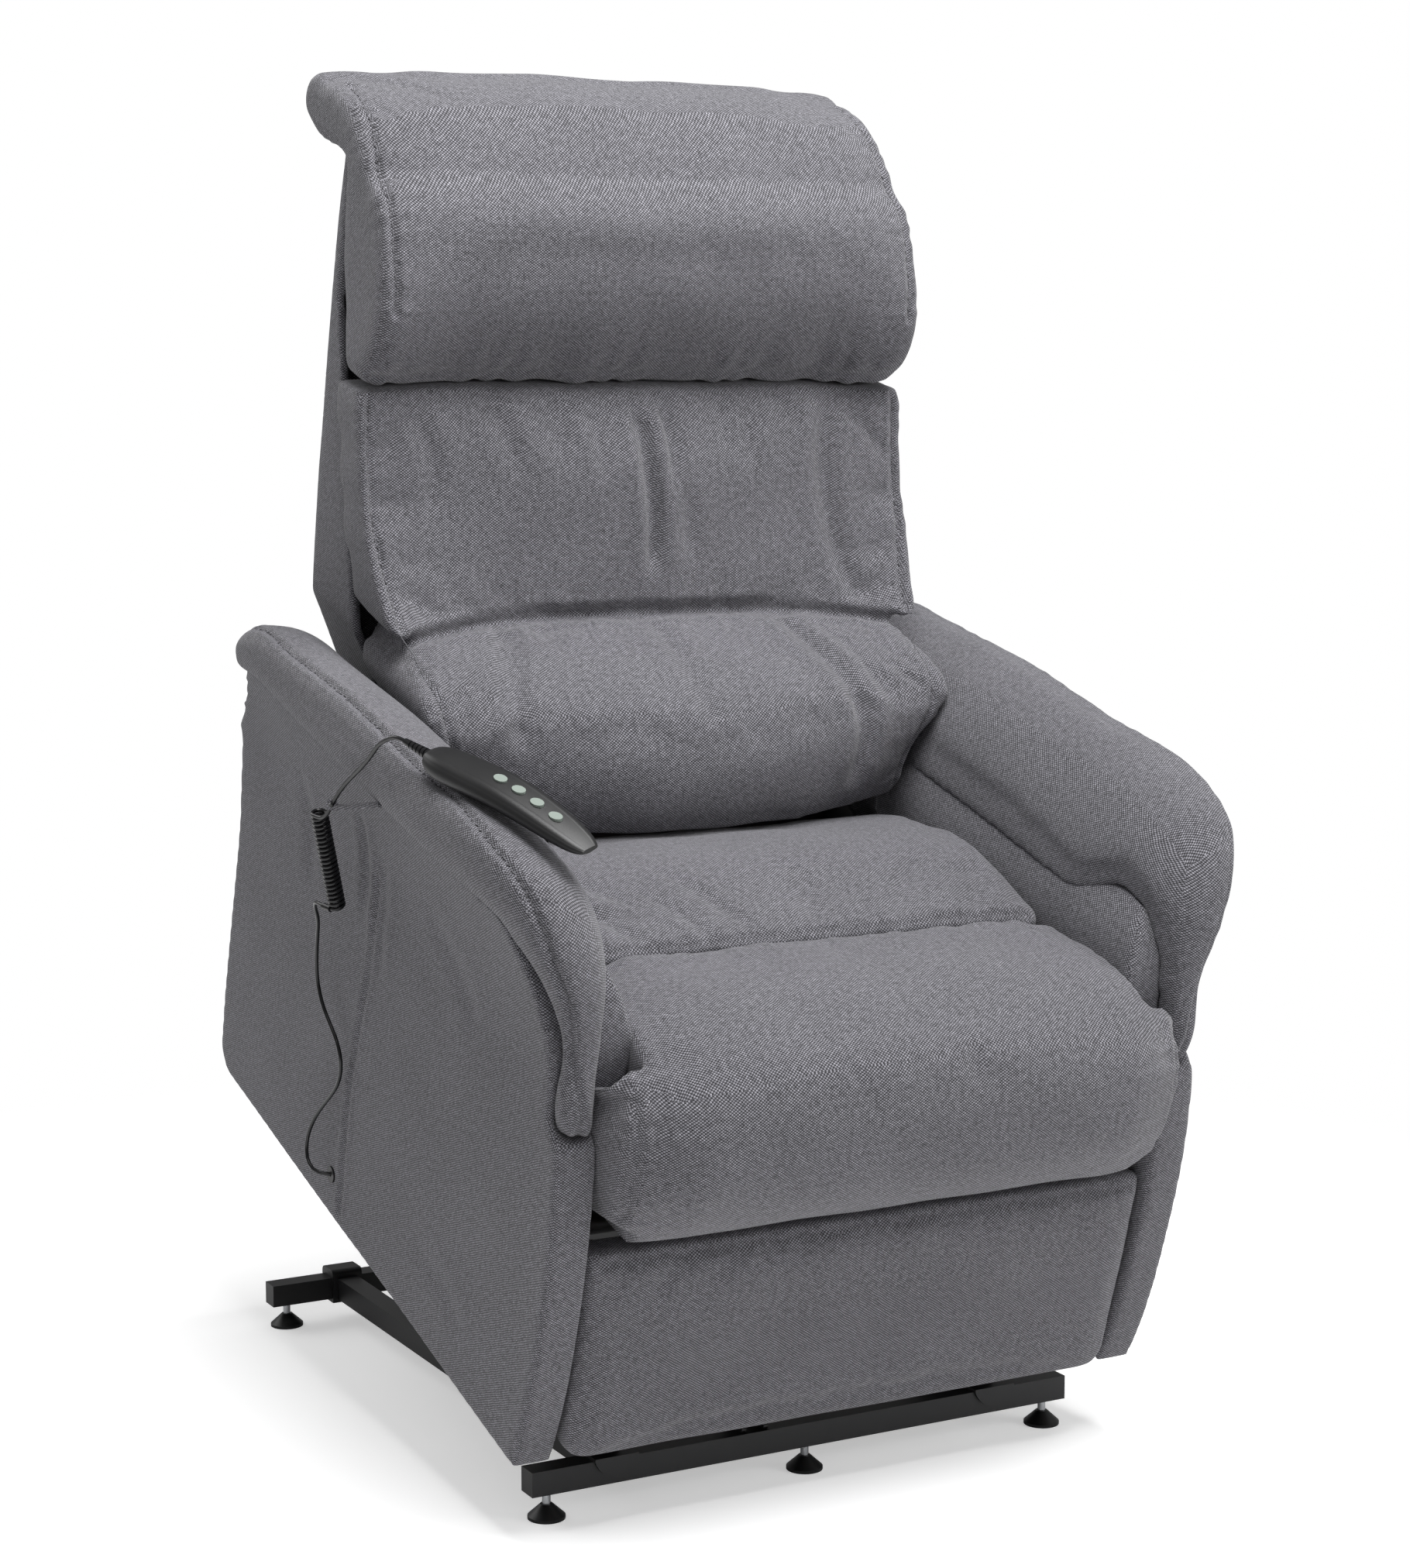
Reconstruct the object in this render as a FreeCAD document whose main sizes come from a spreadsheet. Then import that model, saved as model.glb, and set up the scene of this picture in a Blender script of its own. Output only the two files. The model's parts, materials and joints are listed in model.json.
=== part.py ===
import FreeCAD, Part
import Sketcher
import math
import os
import re
from FreeCAD import Placement, Rotation, Vector

# Lift recliner chair, in millimetres. +Z is up and the chair faces -Y. Right is +X: as seen from in front.
# The origin is on the floor, in the middle of the chair, under the front tube of the base.
# The chair stands part-lifted, as it is shown: the seat unit is tipped forward on its lift arms.
# Seat unit, back and footrest are drawn level, in a frame with its origin at the lower front corner
# of the side panels (X across, Y to the back, Z up), and are then put in place on the base.

os.makedirs("parts", exist_ok=True)
doc = FreeCAD.newDocument("lift_recliner_chair")
sizes = doc.addObject("Spreadsheet::Sheet", "Sizes")

DRIVING = {
    # Floor base
    "base_half_width": 299, "base_depth": 675, "tube_size": 24, "tube_wall": 2, "tube_height": 26,
    "plug_flange": 2, "plug_depth": 14, "rail_offset": 212, "rail_plate": 4, "foot_radius": 18,
    "foot_height": 14, "foot_neck": 6, "stud_radius": 4, "foot_inset": 20, "saddle_width": 46,
    "saddle_plate": 3, "clamp_width": 35, "clamp_plate": 4, "clamp_rise": 9,
    # Lift linkage: fixed pivots on the base, then pivots on the seat unit
    "arm_pivot_y": 88.9, "arm_pivot_z": 92.9, "arm_length": 400, "arm_rest_angle": 26.11,
    "arm_width": 30, "arm_thickness": 14, "arm_offset": 239, "arm_tube_radius": 14,
    "arm_tube_reach": 220, "steady_pivot_y": 28.5, "steady_pivot_z": 88.4, "steady_width": 22,
    "steady_thickness": 12, "pin_radius": 6, "pin_clearance": 0.1, "open_clearance": 0.4, "steady_clearance": 1.5,
    "pin_head": 3, "arm_lug_y": 540, "steady_lug_y": 300, "lug_z": 40, "lug_radius": 15,
    # Seat unit on the base
    "seat_y": -59, "seat_z": 79, "seat_tilt": 16.3,
    # Side panels and arms
    "side_half_width": 343, "side_thickness": 41, "side_depth": 800, "side_front_bulge": 23,
    "side_rear_radius": 34, "side_wall_height": 360, "bolster_inner": 264, "bolster_bottom": 392,
    "pad_inner": 288, "pad_outer": 396, "pad_top": 585, "pad_seam_inner": 478, "pad_seam_outer": 514,
    "rear_board": 13, "rear_panel_top": 250, "pad_bend_y": 110, "pad_bend_z": 440, "pad_rear_y": 738, "bolster_rear_y": 500,
    # Seat
    "seat_half_width": 262, "seat_bottom": 305, "seat_seam_y": 162, "seat_seam_z": 418,
    "seat_crown": 448, "seat_rear_y": 470, "seat_rail": 22, "front_pad_half_width": 303, "front_pad_reach": 77,
    "front_pad_bottom": 236, "panel_half_width": 300, "panel_bottom": 2, "panel_top": 222,
    "panel_board": 13, "panel_padding": 22, "panel_rear_y": 15, "panel_corner": 28,
    # Recliner side plates and cross tubes
    "mech_offset": 284, "mech_plate": 4, "cross_tube_size": 26, "cross_tube_z": 90,
    "back_pivot_y": 560, "back_pivot_z": 330, "back_pin_radius": 8,
    # Footrest linkage: stowed places of the long link's ends and of the panel's lower pivot
    "foot_link_y": 170, "foot_link_z": 250, "foot_knee_y": 196, "foot_knee_z": 58,
    "foot_panel_y": 38, "foot_panel_z": 168, "foot_spacing": 26, "foot_link_width": 16,
    "foot_link_plate": 4, "foot_link_gap": 1, "rivet_radius": 4, "torque_tube_radius": 11,
    # Backrest
    "back_half_width": 302, "back_waist": 256, "lumbar_bottom": 426, "lumbar_seam": 600,
    "head_seam": 813, "head_top": 1100, "cover_bottom": 400, "cover_top": 1030, "cover_wall": 10, "seat_gap": 0.3,
    "upright_size": 26, "upright_offset": 225, "upright_bottom": 300, "upright_top": 880,
    # Actuators
    "lift_motor_x": -60, "lift_motor_y": 40, "lift_motor_z": 80, "lift_eye_y": 300, "lift_eye_z": 220,
    "back_motor_x": 60, "back_motor_y": 340, "back_motor_z": 220, "back_eye_y": 630,
    "back_eye_z": 280, "motor_width": 46, "motor_can_radius": 30, "motor_tube_radius": 17,
    "rod_radius": 8, "rod_stroke_room": 52, "eye_radius": 14, "eye_width": 18, "eye_clearance": 3, "clevis_plate": 5,
    "clevis_pin_radius": 5,
    # Handset and its cord
    "handset_length": 200, "handset_width": 46, "handset_thickness": 27, "handset_x": -384,
    "handset_y": 243, "handset_z": 601.75, "handset_yaw": 20.5, "handset_pitch": -3.5,
    "handset_roll": 10, "button_half_length": 7, "button_half_width": 5.2, "button_height": 5,
    "button_rise": 1.6, "button_pitch": 23, "button_first": 88, "button_gap": 0.3, "button_travel": 1.2, "boot_length": 36, "cord_radius": 2,
    "coil_radius": 7, "coil_pitch": 4.9, "coil_turns": 22, "grommet_radius": 6,
    "loop_roll_radius": 3.2, "loop_ring_radius": 5.6, "loop_ring_wire": 1.5,
}

for number, (name, amount) in enumerate(DRIVING.items(), start=1):
    sizes.set(f"A{number}", name)
    sizes.set(f"B{number}", str(amount))
    sizes.setAlias(f"B{number}", name)
doc.recompute()

nodes = []


def size(name):
    return float(sizes.get(name))


def linked(text):
    """Turn the size names in a formula into references to the sheet's cells."""
    return re.sub(r"[a-z]\w*", lambda word: f"Sizes.{word.group()}" if word.group() in DRIVING else word.group(), text)


def bind(item, **formulas):
    for prop, text in formulas.items():
        item.setExpression(prop.replace("__", "."), linked(text))


def box(name, length, width, height, x="0", y="0", z="0"):
    item = doc.addObject("Part::Box", name)
    bind(item, Length=length, Width=width, Height=height)
    bind(item, Placement__Base__x=x, Placement__Base__y=y, Placement__Base__z=z)
    return item


def cylinder(name, radius, height, x="0", y="0", z="0", along="Z"):
    item = doc.addObject("Part::Cylinder", name)
    bind(item, Radius=radius, Height=height)
    if along == "X":
        item.Placement = Placement(Vector(0, 0, 0), Rotation(Vector(0, 1, 0), 90))
    bind(item, Placement__Base__x=x, Placement__Base__y=y, Placement__Base__z=z)
    return item


def cut(name, base, *tools):
    item = doc.addObject("Part::Cut", name)
    item.Base = base
    item.Tool = tools[0] if len(tools) == 1 else fuse(name + "_tools", *tools)
    return item


def fuse(name, *shapes):
    item = doc.addObject("Part::MultiFuse", name)
    item.Shapes = list(shapes)
    return item


def group(name, *shapes):
    item = doc.addObject("Part::Compound", name)
    item.Links = list(shapes)
    return item


def mirrored(name, source):
    item = doc.addObject("Part::Mirroring", name)
    item.Source = source
    item.Normal = Vector(1, 0, 0)
    return item


def solid(name, shape):
    item = doc.addObject("Part::Feature", name)
    item.Shape = shape
    return item


def node(item, label, place=None):
    """Give a finished sub-part its label and its place."""
    item.Label = label
    if place is not None:
        item.Placement = place.multiply(item.Placement)
    nodes.append(item)
    return item


def seat_unit_place():
    tilt = Rotation(Vector(1, 0, 0), size("seat_tilt"))
    return Placement(Vector(0, size("seat_y"), size("seat_z")), tilt)


seat_unit = seat_unit_place()


def polygon(points, x=0.0):
    """A closed wire of straight lines through (y, z) points in the plane X = x."""
    corners = [Vector(x, y, z) for y, z in points]
    return Part.makePolygon(corners + corners[:1])


def plate(points, x, thickness, radius=0.0):
    """A flat plate in the YZ plane from X = x, its corners rounded to the radius."""
    face = Part.Face(polygon(points, x))
    shape = face.extrude(Vector(thickness, 0, 0))
    if radius:
        upright = [edge for edge in shape.Edges if abs(abs(edge.tangentAt(edge.FirstParameter).x) - 1) < 1e-6]
        shape = shape.makeFillet(radius, upright)
    return shape


def drum(radius, length, x, y, z):
    """A round bar along X."""
    return Part.makeCylinder(radius, length, Vector(x, y, z), Vector(1, 0, 0))


def outline(steps):
    """A closed wire of lines and arcs: each step is (end,) for a line or (middle, end) for an arc."""
    edges = []
    start = steps[-1][-1]
    for step in steps:
        if len(step) == 1:
            edges.append(Part.makeLine(start, step[0]))
        else:
            edges.append(Part.Arc(start, step[0], step[1]).toShape())
        start = step[-1]
    return Part.Wire(edges)


# Floor base


def base_tubes():
    for name, y in (("base_front_tube", "0"), ("base_rear_tube", "base_depth")):
        length = "2 * (base_half_width - plug_flange)"
        outer = box(name + "_outer", length, "tube_size", "tube_size",
                    "plug_flange - base_half_width", f"{y} - tube_size / 2", "tube_height")
        inner = box(name + "_inner", length, "tube_size - 2 * tube_wall", "tube_size - 2 * tube_wall",
                    "plug_flange - base_half_width", f"{y} - tube_size / 2 + tube_wall",
                    "tube_height + tube_wall")
        node(cut(name, outer, inner), name)


def base_rails():
    outer = box("rail_outer", "tube_size", "base_depth - tube_size", "tube_size",
                "rail_offset - tube_size / 2", "tube_size / 2", "tube_height")
    inner = box("rail_inner", "tube_size - 2 * tube_wall", "base_depth - tube_size",
                "tube_size - 2 * tube_wall", "rail_offset - tube_size / 2 + tube_wall",
                "tube_size / 2", "tube_height + tube_wall")
    right = node(cut("base_rail_right", outer, inner), "base_rail_right")
    node(mirrored("base_rail_left", right), "base_rail_left")


def base_end_plugs():
    plugs = []
    for name, y in (("front", "0"), ("rear", "base_depth")):
        flange = box(f"plug_flange_{name}", "plug_flange", "tube_size", "tube_size",
                     "base_half_width - plug_flange", f"{y} - tube_size / 2", "tube_height")
        shank = box(f"plug_shank_{name}", "plug_depth", "tube_size - 2 * tube_wall",
                    "tube_size - 2 * tube_wall", "base_half_width - plug_flange - plug_depth",
                    f"{y} - tube_size / 2 + tube_wall", "tube_height + tube_wall")
        plug = fuse(f"plug_{name}", flange, shank)
        plugs += [plug, mirrored(f"plug_{name}_left", plug)]
    node(group("tube_end_plugs", *plugs), "tube_end_plugs")


def foot_places():
    """Name, X and Y of each levelling foot: three in front, two behind."""
    reach = "(base_half_width - foot_inset)"
    return (("front_right", reach, "0"), ("front_middle", "0", "0"), ("front_left", f"-{reach}", "0"),
            ("rear_right", reach, "base_depth"), ("rear_left", f"-{reach}", "base_depth"))


def levelling_feet():
    discs = []
    studs = []
    for name, x, y in foot_places():
        rim = cylinder(f"foot_rim_{name}", "foot_radius", "3", x, y)
        bell = doc.addObject("Part::Cone", f"foot_bell_{name}")
        bind(bell, Radius1="foot_radius", Radius2="foot_neck", Height="foot_height - 3",
             Placement__Base__x=x, Placement__Base__y=y, Placement__Base__z="3")
        discs.append(fuse(f"foot_disc_{name}", rim, bell))
        studs.append(cylinder(f"foot_stud_{name}", "stud_radius", "tube_height - foot_height",
                              x, y, "foot_height"))
    node(group("foot_discs", *discs), "foot_discs")
    node(group("foot_studs", *studs), "foot_studs")


def base_brackets():
    """Two upright plates beside each rail carry the lift arm and the steady link."""
    rail = size("rail_offset")
    half = size("tube_size") / 2
    thick = size("rail_plate")
    low = size("tube_height") + 4
    arm_y, arm_z = size("arm_pivot_y"), size("arm_pivot_z")
    link_y, link_z = size("steady_pivot_y"), size("steady_pivot_z")
    edge = size("lug_radius")
    front = link_y - edge
    sides = [(front, low), (arm_y + edge + 12, low), (arm_y + edge, arm_z + 2), (arm_y + 6, arm_z + edge),
             (link_y - 6, link_z + edge), (front, link_z + 2)]
    shape = plate(sides, rail + half, thick, 5)
    shape = shape.fuse(plate(sides, rail - half - thick, thick, 5))
    # The steady link turns between the plates, the lift arm outside them
    shape = shape.fuse(drum(size("pin_radius"), 2 * half, rail - half, link_y, link_z))
    reach = size("arm_offset") + size("arm_thickness") / 2 + 1 - rail - half
    shape = shape.fuse(drum(size("pin_radius"), reach, rail + half, arm_y, arm_z))
    head = drum(size("pin_radius") + 4, size("pin_head"), rail + half + reach, arm_y, arm_z)
    shape = shape.fuse(head).fuse(saddle(rail, half, low))
    right = node(solid("base_bracket_right", shape.removeSplitter()), "base_bracket_right")
    node(mirrored("base_bracket_left", right), "base_bracket_left")


def saddle(rail, half, low):
    """The rounded tab of a bracket that is bent over the front tube."""
    wide = size("saddle_width") / 2
    thin = size("saddle_plate")
    top = size("tube_height") + 2 * half
    lip = 16
    tab = Part.makeBox(2 * wide, half + thin + 14, thin, Vector(rail - wide, -half - thin, top))
    face = outline([(Vector(rail - wide, -half - thin, top),),
                    (Vector(rail, -half - thin, top - lip), Vector(rail + wide, -half - thin, top))])
    return tab.fuse(Part.Face(face).extrude(Vector(0, thin, 0)))


def rear_clamps():
    """A strap bent around the rear tube over the end of each rail."""
    wide = size("clamp_width")
    half = size("tube_size") / 2
    thick = size("clamp_plate")
    y = size("base_depth")
    low = size("tube_height")
    x = size("rail_offset") - wide / 2
    strap = Part.makeBox(wide, 2 * (half + thick), 2 * half + thick + size("clamp_rise"),
                         Vector(x, y - half - thick, low - thick))
    top = low + 2 * half + size("clamp_rise")
    crown = [edge for edge in strap.Edges
             if edge.BoundBox.ZMin > top - 0.01 and edge.BoundBox.YLength < 0.01]
    strap = strap.makeFillet(6, crown)
    hole = Part.makeBox(wide, 2 * half, 2 * half, Vector(x, y - half, low))
    rail = Part.makeBox(2 * half, thick, 2 * half, Vector(size("rail_offset") - half, y - half - thick, low))
    right = solid("rear_clamp", strap.cut(hole).cut(rail))
    node(group("base_rear_clamps", right, mirrored("rear_clamp_left", right)), "base_rear_clamps")


def lift_motor_bracket():
    """Two ears on the front tube, joined by the pin of the lift motor."""
    x = size("lift_motor_x")
    y, z = size("lift_motor_y"), size("lift_motor_z")
    half = size("tube_size") / 2
    top = size("tube_height") + 2 * half
    ear = [(-half, top), (half + 6, top), (y + 15, z - 8), (y + 15, z + 12), (y - 12, z + 14)]
    inner = size("eye_width") / 2 + 0.5
    thick = size("clevis_plate")
    shape = plate(ear, x + inner, thick, 3).fuse(plate(ear, x - inner - thick, thick, 3))
    pin = drum(size("clevis_pin_radius"), 2 * (inner + thick + 2), x - inner - thick - 2, y, z)
    node(solid("lift_motor_bracket", shape.fuse(pin)), "lift_motor_bracket")


# Flat links


def link(name, length, width, thickness, hole_start, hole_end):
    """A flat bar with round ends, a hole at the origin and one at its far end along Y, thick along X."""
    body = doc.addObject("PartDesign::Body", name)
    plane = next(item for item in body.Origin.OriginFeatures if item.Role == "YZ_Plane")
    sketch = body.newObject("Sketcher::SketchObject", name + "_outline")
    sketch.AttachmentSupport = [(plane, "")]
    sketch.MapMode = "FlatFace"
    far = size(length) if length in DRIVING else float(length)
    half = size(width) / 2
    near, away = Vector(0, 0, 0), Vector(far, 0, 0)
    up = Vector(0, 0, 1)
    sketch.addGeometry(Part.LineSegment(Vector(0, half, 0), Vector(far, half, 0)), False)
    sketch.addGeometry(Part.LineSegment(Vector(0, -half, 0), Vector(far, -half, 0)), False)
    sketch.addGeometry(Part.ArcOfCircle(Part.Circle(near, up, half), math.pi / 2, 3 * math.pi / 2), False)
    sketch.addGeometry(Part.ArcOfCircle(Part.Circle(away, up, half), -math.pi / 2, math.pi / 2), False)
    sketch.addGeometry(Part.Circle(near, up, half / 2), False)
    sketch.addGeometry(Part.Circle(away, up, half / 2), False)
    sketch.addConstraint([
        Sketcher.Constraint("Tangent", 0, 1, 2, 1), Sketcher.Constraint("Tangent", 1, 1, 2, 2),
        Sketcher.Constraint("Tangent", 0, 2, 3, 2), Sketcher.Constraint("Tangent", 1, 2, 3, 1),
        Sketcher.Constraint("Coincident", 2, 3, -1, 1), Sketcher.Constraint("Coincident", 4, 3, 2, 3),
        Sketcher.Constraint("Coincident", 5, 3, 3, 3), Sketcher.Constraint("PointOnObject", 3, 3, -1),
    ])
    for title, kind, arguments, formula in (
            ("reach", "DistanceX", (2, 3, 3, 3, far), length), ("round", "Radius", (2, half), f"{width} / 2"),
            ("near", "Radius", (4, half / 2), hole_start), ("away", "Radius", (5, half / 2), hole_end)):
        number = sketch.addConstraint(Sketcher.Constraint(kind, *arguments))
        sketch.renameConstraint(number, title)
        sketch.setExpression(f"Constraints.{title}", linked(formula))
    pad = body.newObject("PartDesign::Pad", name + "_bar")
    pad.Profile = sketch
    pad.setExpression("Length", linked(thickness))
    body.Tip = pad
    return body


def turned(x, y, z, angle):
    """A place at (x, y, z), turned about X."""
    return Placement(Vector(x, y, z), Rotation(Vector(1, 0, 0), angle))


def heading(start, end):
    return math.degrees(math.atan2(end[1] - start[1], end[0] - start[0]))


def apart(start, end):
    return math.hypot(end[0] - start[0], end[1] - start[1])


def in_row(y, z):
    """A point of the seat unit, on the base."""
    point = seat_unit.multVec(Vector(0, y, z))
    return point.y, point.z


def lift_arms():
    running = "pin_radius + pin_clearance"
    arm = link("lift_arm_bar", "arm_length", "arm_width", "arm_thickness", running, running)
    x = size("arm_offset") - size("arm_thickness") / 2
    y, z = size("arm_pivot_y"), size("arm_pivot_z")
    angle = size("arm_rest_angle")
    right = node(arm, "lift_arm_right", turned(x, y, z, angle))
    node(mirrored("lift_arm_left", right), "lift_arm_left")
    reach = size("arm_tube_reach")
    turn = math.radians(angle)
    tube = cylinder("lift_tube_outer", "arm_tube_radius", "2 * arm_offset - arm_thickness",
                    "arm_thickness / 2 - arm_offset", f"{y + reach * math.cos(turn)}",
                    f"{z + reach * math.sin(turn)}", "X")
    bore = cylinder("lift_tube_bore", "arm_tube_radius - tube_wall", "2 * arm_offset - arm_thickness",
                    "arm_thickness / 2 - arm_offset", f"{y + reach * math.cos(turn)}",
                    f"{z + reach * math.sin(turn)}", "X")
    node(cut("lift_cross_tube", tube, bore), "lift_cross_tube")


def steady_links():
    start = (size("steady_pivot_y"), size("steady_pivot_z"))
    end = in_row(size("steady_lug_y"), size("lug_z"))
    bar = link("steady_link_bar", f"{apart(start, end)}", "steady_width", "steady_thickness",
               "pin_radius + pin_clearance", "pin_radius + steady_clearance")
    x = size("rail_offset") - size("steady_thickness") / 2
    right = node(bar, "steady_link_right", turned(x, *start, heading(start, end)))
    node(mirrored("steady_link_left", right), "steady_link_left")


# Recliner frame of the seat unit


def foot_points():
    """Stowed places of the footrest linkage's pivots, as (y, z)."""
    link_top = (size("foot_link_y"), size("foot_link_z"))
    knee = (size("foot_knee_y"), size("foot_knee_z"))
    panel = (size("foot_panel_y"), size("foot_panel_z"))
    spacing = size("foot_spacing")
    long = apart(knee, link_top)
    front = apart(knee, panel)
    up = (spacing * (link_top[0] - knee[0]) / long, spacing * (link_top[1] - knee[1]) / long)
    ahead = (spacing * (panel[0] - knee[0]) / front, spacing * (panel[1] - knee[1]) / front)
    return {
        "link_top": link_top, "knee": knee, "panel": panel,
        "guide_top": (link_top[0] + ahead[0], link_top[1] + ahead[1]),
        "guide_end": (knee[0] + ahead[0], knee[1] + ahead[1]),
        "steady_start": (knee[0] + up[0], knee[1] + up[1]),
        "steady_end": (panel[0] + up[0], panel[1] + up[1]),
    }


def mech_plates():
    """Pressed side plates that carry the footrest links, the back hinge and the cross tubes."""
    x = size("mech_offset")
    thick = size("mech_plate")
    points = foot_points()
    tube = size("cross_tube_size") / 2
    low = size("cross_tube_z") - tube - 8
    front_y = size("steady_lug_y")
    rear_y = size("arm_lug_y")
    pivot_y, pivot_z = size("back_pivot_y"), size("back_pivot_z")
    link_y, link_z = points["link_top"]
    guide_y, guide_z = points["guide_top"]
    sides = [(guide_y - 16, guide_z - 6), (link_y - 4, link_z - 24), (front_y - 42, link_z - 50),
             (front_y - 26, low), (rear_y + 30, low), (pivot_y + 26, pivot_z - 60),
             (pivot_y + 24, pivot_z + 18), (pivot_y - 24, pivot_z + 18), (rear_y - 60, 286),
             (guide_y - 4, 292)]
    shape = plate(sides, x, thick, 7)
    for start, end, z in ((front_y + 40, rear_y - 60, 160), (front_y + 20, rear_y - 90, 235)):
        slot = plate([(start, z - 18), (end, z - 18), (end, z + 18), (start, z + 18)], x, thick, 12)
        shape = shape.cut(slot)
    # Spacers between the plate and the upholstered side
    gap = size("side_half_width") - size("side_thickness") - x - thick
    for y, z in ((front_y, 260), (rear_y - 20, 262), (front_y + 10, 88), (rear_y, 88)):
        shape = shape.fuse(drum(9, gap, x + thick, y, z))
    shape = shape.fuse(footrest_rivet(points["link_top"], x, 1))
    shape = shape.fuse(footrest_rivet(points["guide_top"], x, 1))
    hinge = size("foot_link_gap") + size("mech_plate") + 2
    shape = shape.fuse(drum(size("back_pin_radius"), hinge, x - hinge, pivot_y, pivot_z))
    right = node(solid("mech_plate_right", shape.removeSplitter()), "mech_plate_right", seat_unit)
    node(mirrored("mech_plate_left", right), "mech_plate_left")


def footrest_rivet(point, x, layers, radius=None):
    """A shouldered rivet that stands from X = x inwards through a number of link layers."""
    step = size("foot_link_plate") + size("foot_link_gap")
    reach = layers * step - 0.5
    radius = radius or size("rivet_radius")
    return drum(radius, reach, x - reach, *point)


def clevis(x, point, base, inner, pin_from=None):
    """Two ears from the base points to a pin at the point, around X = x."""
    thick = size("clevis_plate")
    y, z = point
    ear = Part.Face(polygon([*base, (y + 12, z), (y, z + 12), (y - 12, z)], x + inner))
    ear = ear.extrude(Vector(thick, 0, 0))
    other = ear.copy()
    other.translate(Vector(-2 * inner - thick, 0, 0))
    pin = drum(size("clevis_pin_radius"), 2 * (inner + thick + 2), x - inner - thick - 2, y, z)
    return ear.fuse(other).fuse(pin)


def lugs(y, low, x, thick, pin_x, pin_length):
    """A lug below a cross tube with the pin of a lift link, on the right side."""
    edge = size("lug_radius")
    z = size("lug_z")
    tube = size("cross_tube_size") / 2
    sides = [(y - edge, z - 4), (y - 8, z - edge), (y + 8, z - edge), (y + edge, z - 4),
             (y + tube, low), (y - tube, low)]
    shape = plate(sides, x, thick, 3)
    return shape.fuse(drum(size("pin_radius"), pin_length, pin_x, y, z))


def with_mirror(shape):
    """The shape and its mirror image on the other side of the chair."""
    return Part.makeCompound([shape, shape.mirror(Vector(0, 0, 0), Vector(1, 0, 0))])


def cross_tube(y):
    x = size("mech_offset")
    full = size("cross_tube_size")
    wall = size("tube_wall")
    low = size("cross_tube_z") - full / 2
    outer = Part.makeBox(2 * x, full, full, Vector(-x, y - full / 2, low))
    hollow = Part.makeBox(2 * x, full - 2 * wall, full - 2 * wall, Vector(-x, y - full / 2 + wall, low + wall))
    return outer.cut(hollow), low


def cross_tubes():
    thick = size("rail_plate")
    inner = size("eye_width") / 2 + 0.5
    half = size("cross_tube_size") / 2
    front_y = size("steady_lug_y")
    front, low = cross_tube(front_y)
    top = low + 2 * half
    lug_x = size("rail_offset") + size("steady_thickness") / 2 + 4
    pin_x = size("rail_offset") - size("steady_thickness") / 2 - 2
    front = front.fuse(with_mirror(lugs(front_y, low, lug_x, thick, pin_x, lug_x - pin_x)).Solids)
    ears = [(front_y - half, top), (front_y + half, top)]
    lift_eye = (size("lift_eye_y"), size("lift_eye_z"))
    motor_eye = (size("back_motor_y"), size("back_motor_z"))
    front = front.fuse(clevis(size("lift_motor_x"), lift_eye, ears, inner))
    front = front.fuse(clevis(size("back_motor_x"), motor_eye, ears, inner))
    node(solid("seat_cross_tube_front", front.removeSplitter()), "seat_cross_tube_front", seat_unit)
    rear_y = size("arm_lug_y")
    rear, low = cross_tube(rear_y)
    lug_x = size("arm_offset") + size("arm_thickness") / 2 + 4
    pin_x = size("arm_offset") - size("arm_thickness") / 2 - 1
    rear = rear.fuse(with_mirror(lugs(rear_y, low, lug_x, thick, pin_x, lug_x - pin_x)).Solids)
    node(solid("seat_cross_tube_rear", rear.removeSplitter()), "seat_cross_tube_rear", seat_unit)


def seat_rails():
    """Timber rails under the front and rear of the seat, from side to side."""
    width = "2 * (side_half_width - side_thickness)"
    left = "side_thickness - side_half_width"
    front = box("seat_rail_front", width, "seat_rail", "46", left, "62", "seat_bottom - 6 - 46")
    rear = box("seat_rail_rear", "2 * mech_offset", "seat_rail", "30", "-mech_offset",
               "seat_rear_y - 4 - seat_rail", "seat_bottom - 6 - 30")
    node(group("seat_rails", front, rear), "seat_rails", seat_unit)


def seat_webbing():
    """Elastic straps between the rails, under the cushion."""
    straps = []
    count = 5
    pitch = size("seat_half_width") * 2 / count
    for number in range(count):
        x = (number - (count - 1) / 2) * pitch - 25
        straps.append(box(f"strap_{number + 1}", "50", "seat_rear_y - 4 - 62", "2.5", f"{x}", "62",
                          "seat_bottom - 6"))
    node(group("seat_webbing", *straps), "seat_webbing", seat_unit)


# Upholstered sides


def side_section():
    """Section of a side across the chair: an upright wall, a flare and a bolster inside."""
    outer = size("side_half_width")
    inner = outer - size("side_thickness")
    bolster = size("bolster_inner")
    low = size("bolster_bottom")

    def at(x, z):
        return Vector(x, 0, z)

    return outline([
        (at(outer, 0),), (at(outer, size("side_wall_height")),),
        (at(outer + 12, 452), at(size("pad_outer") - 18, size("pad_seam_outer") + 2)),
        (at(size("pad_inner") + 2, size("pad_seam_inner") + 2),),
        (at(bolster + 5, low + 50), at(bolster, low)),
        (at(bolster + 12, low - 22), at(inner, low - 40)),
        (at(inner, 0),),
    ])


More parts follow.
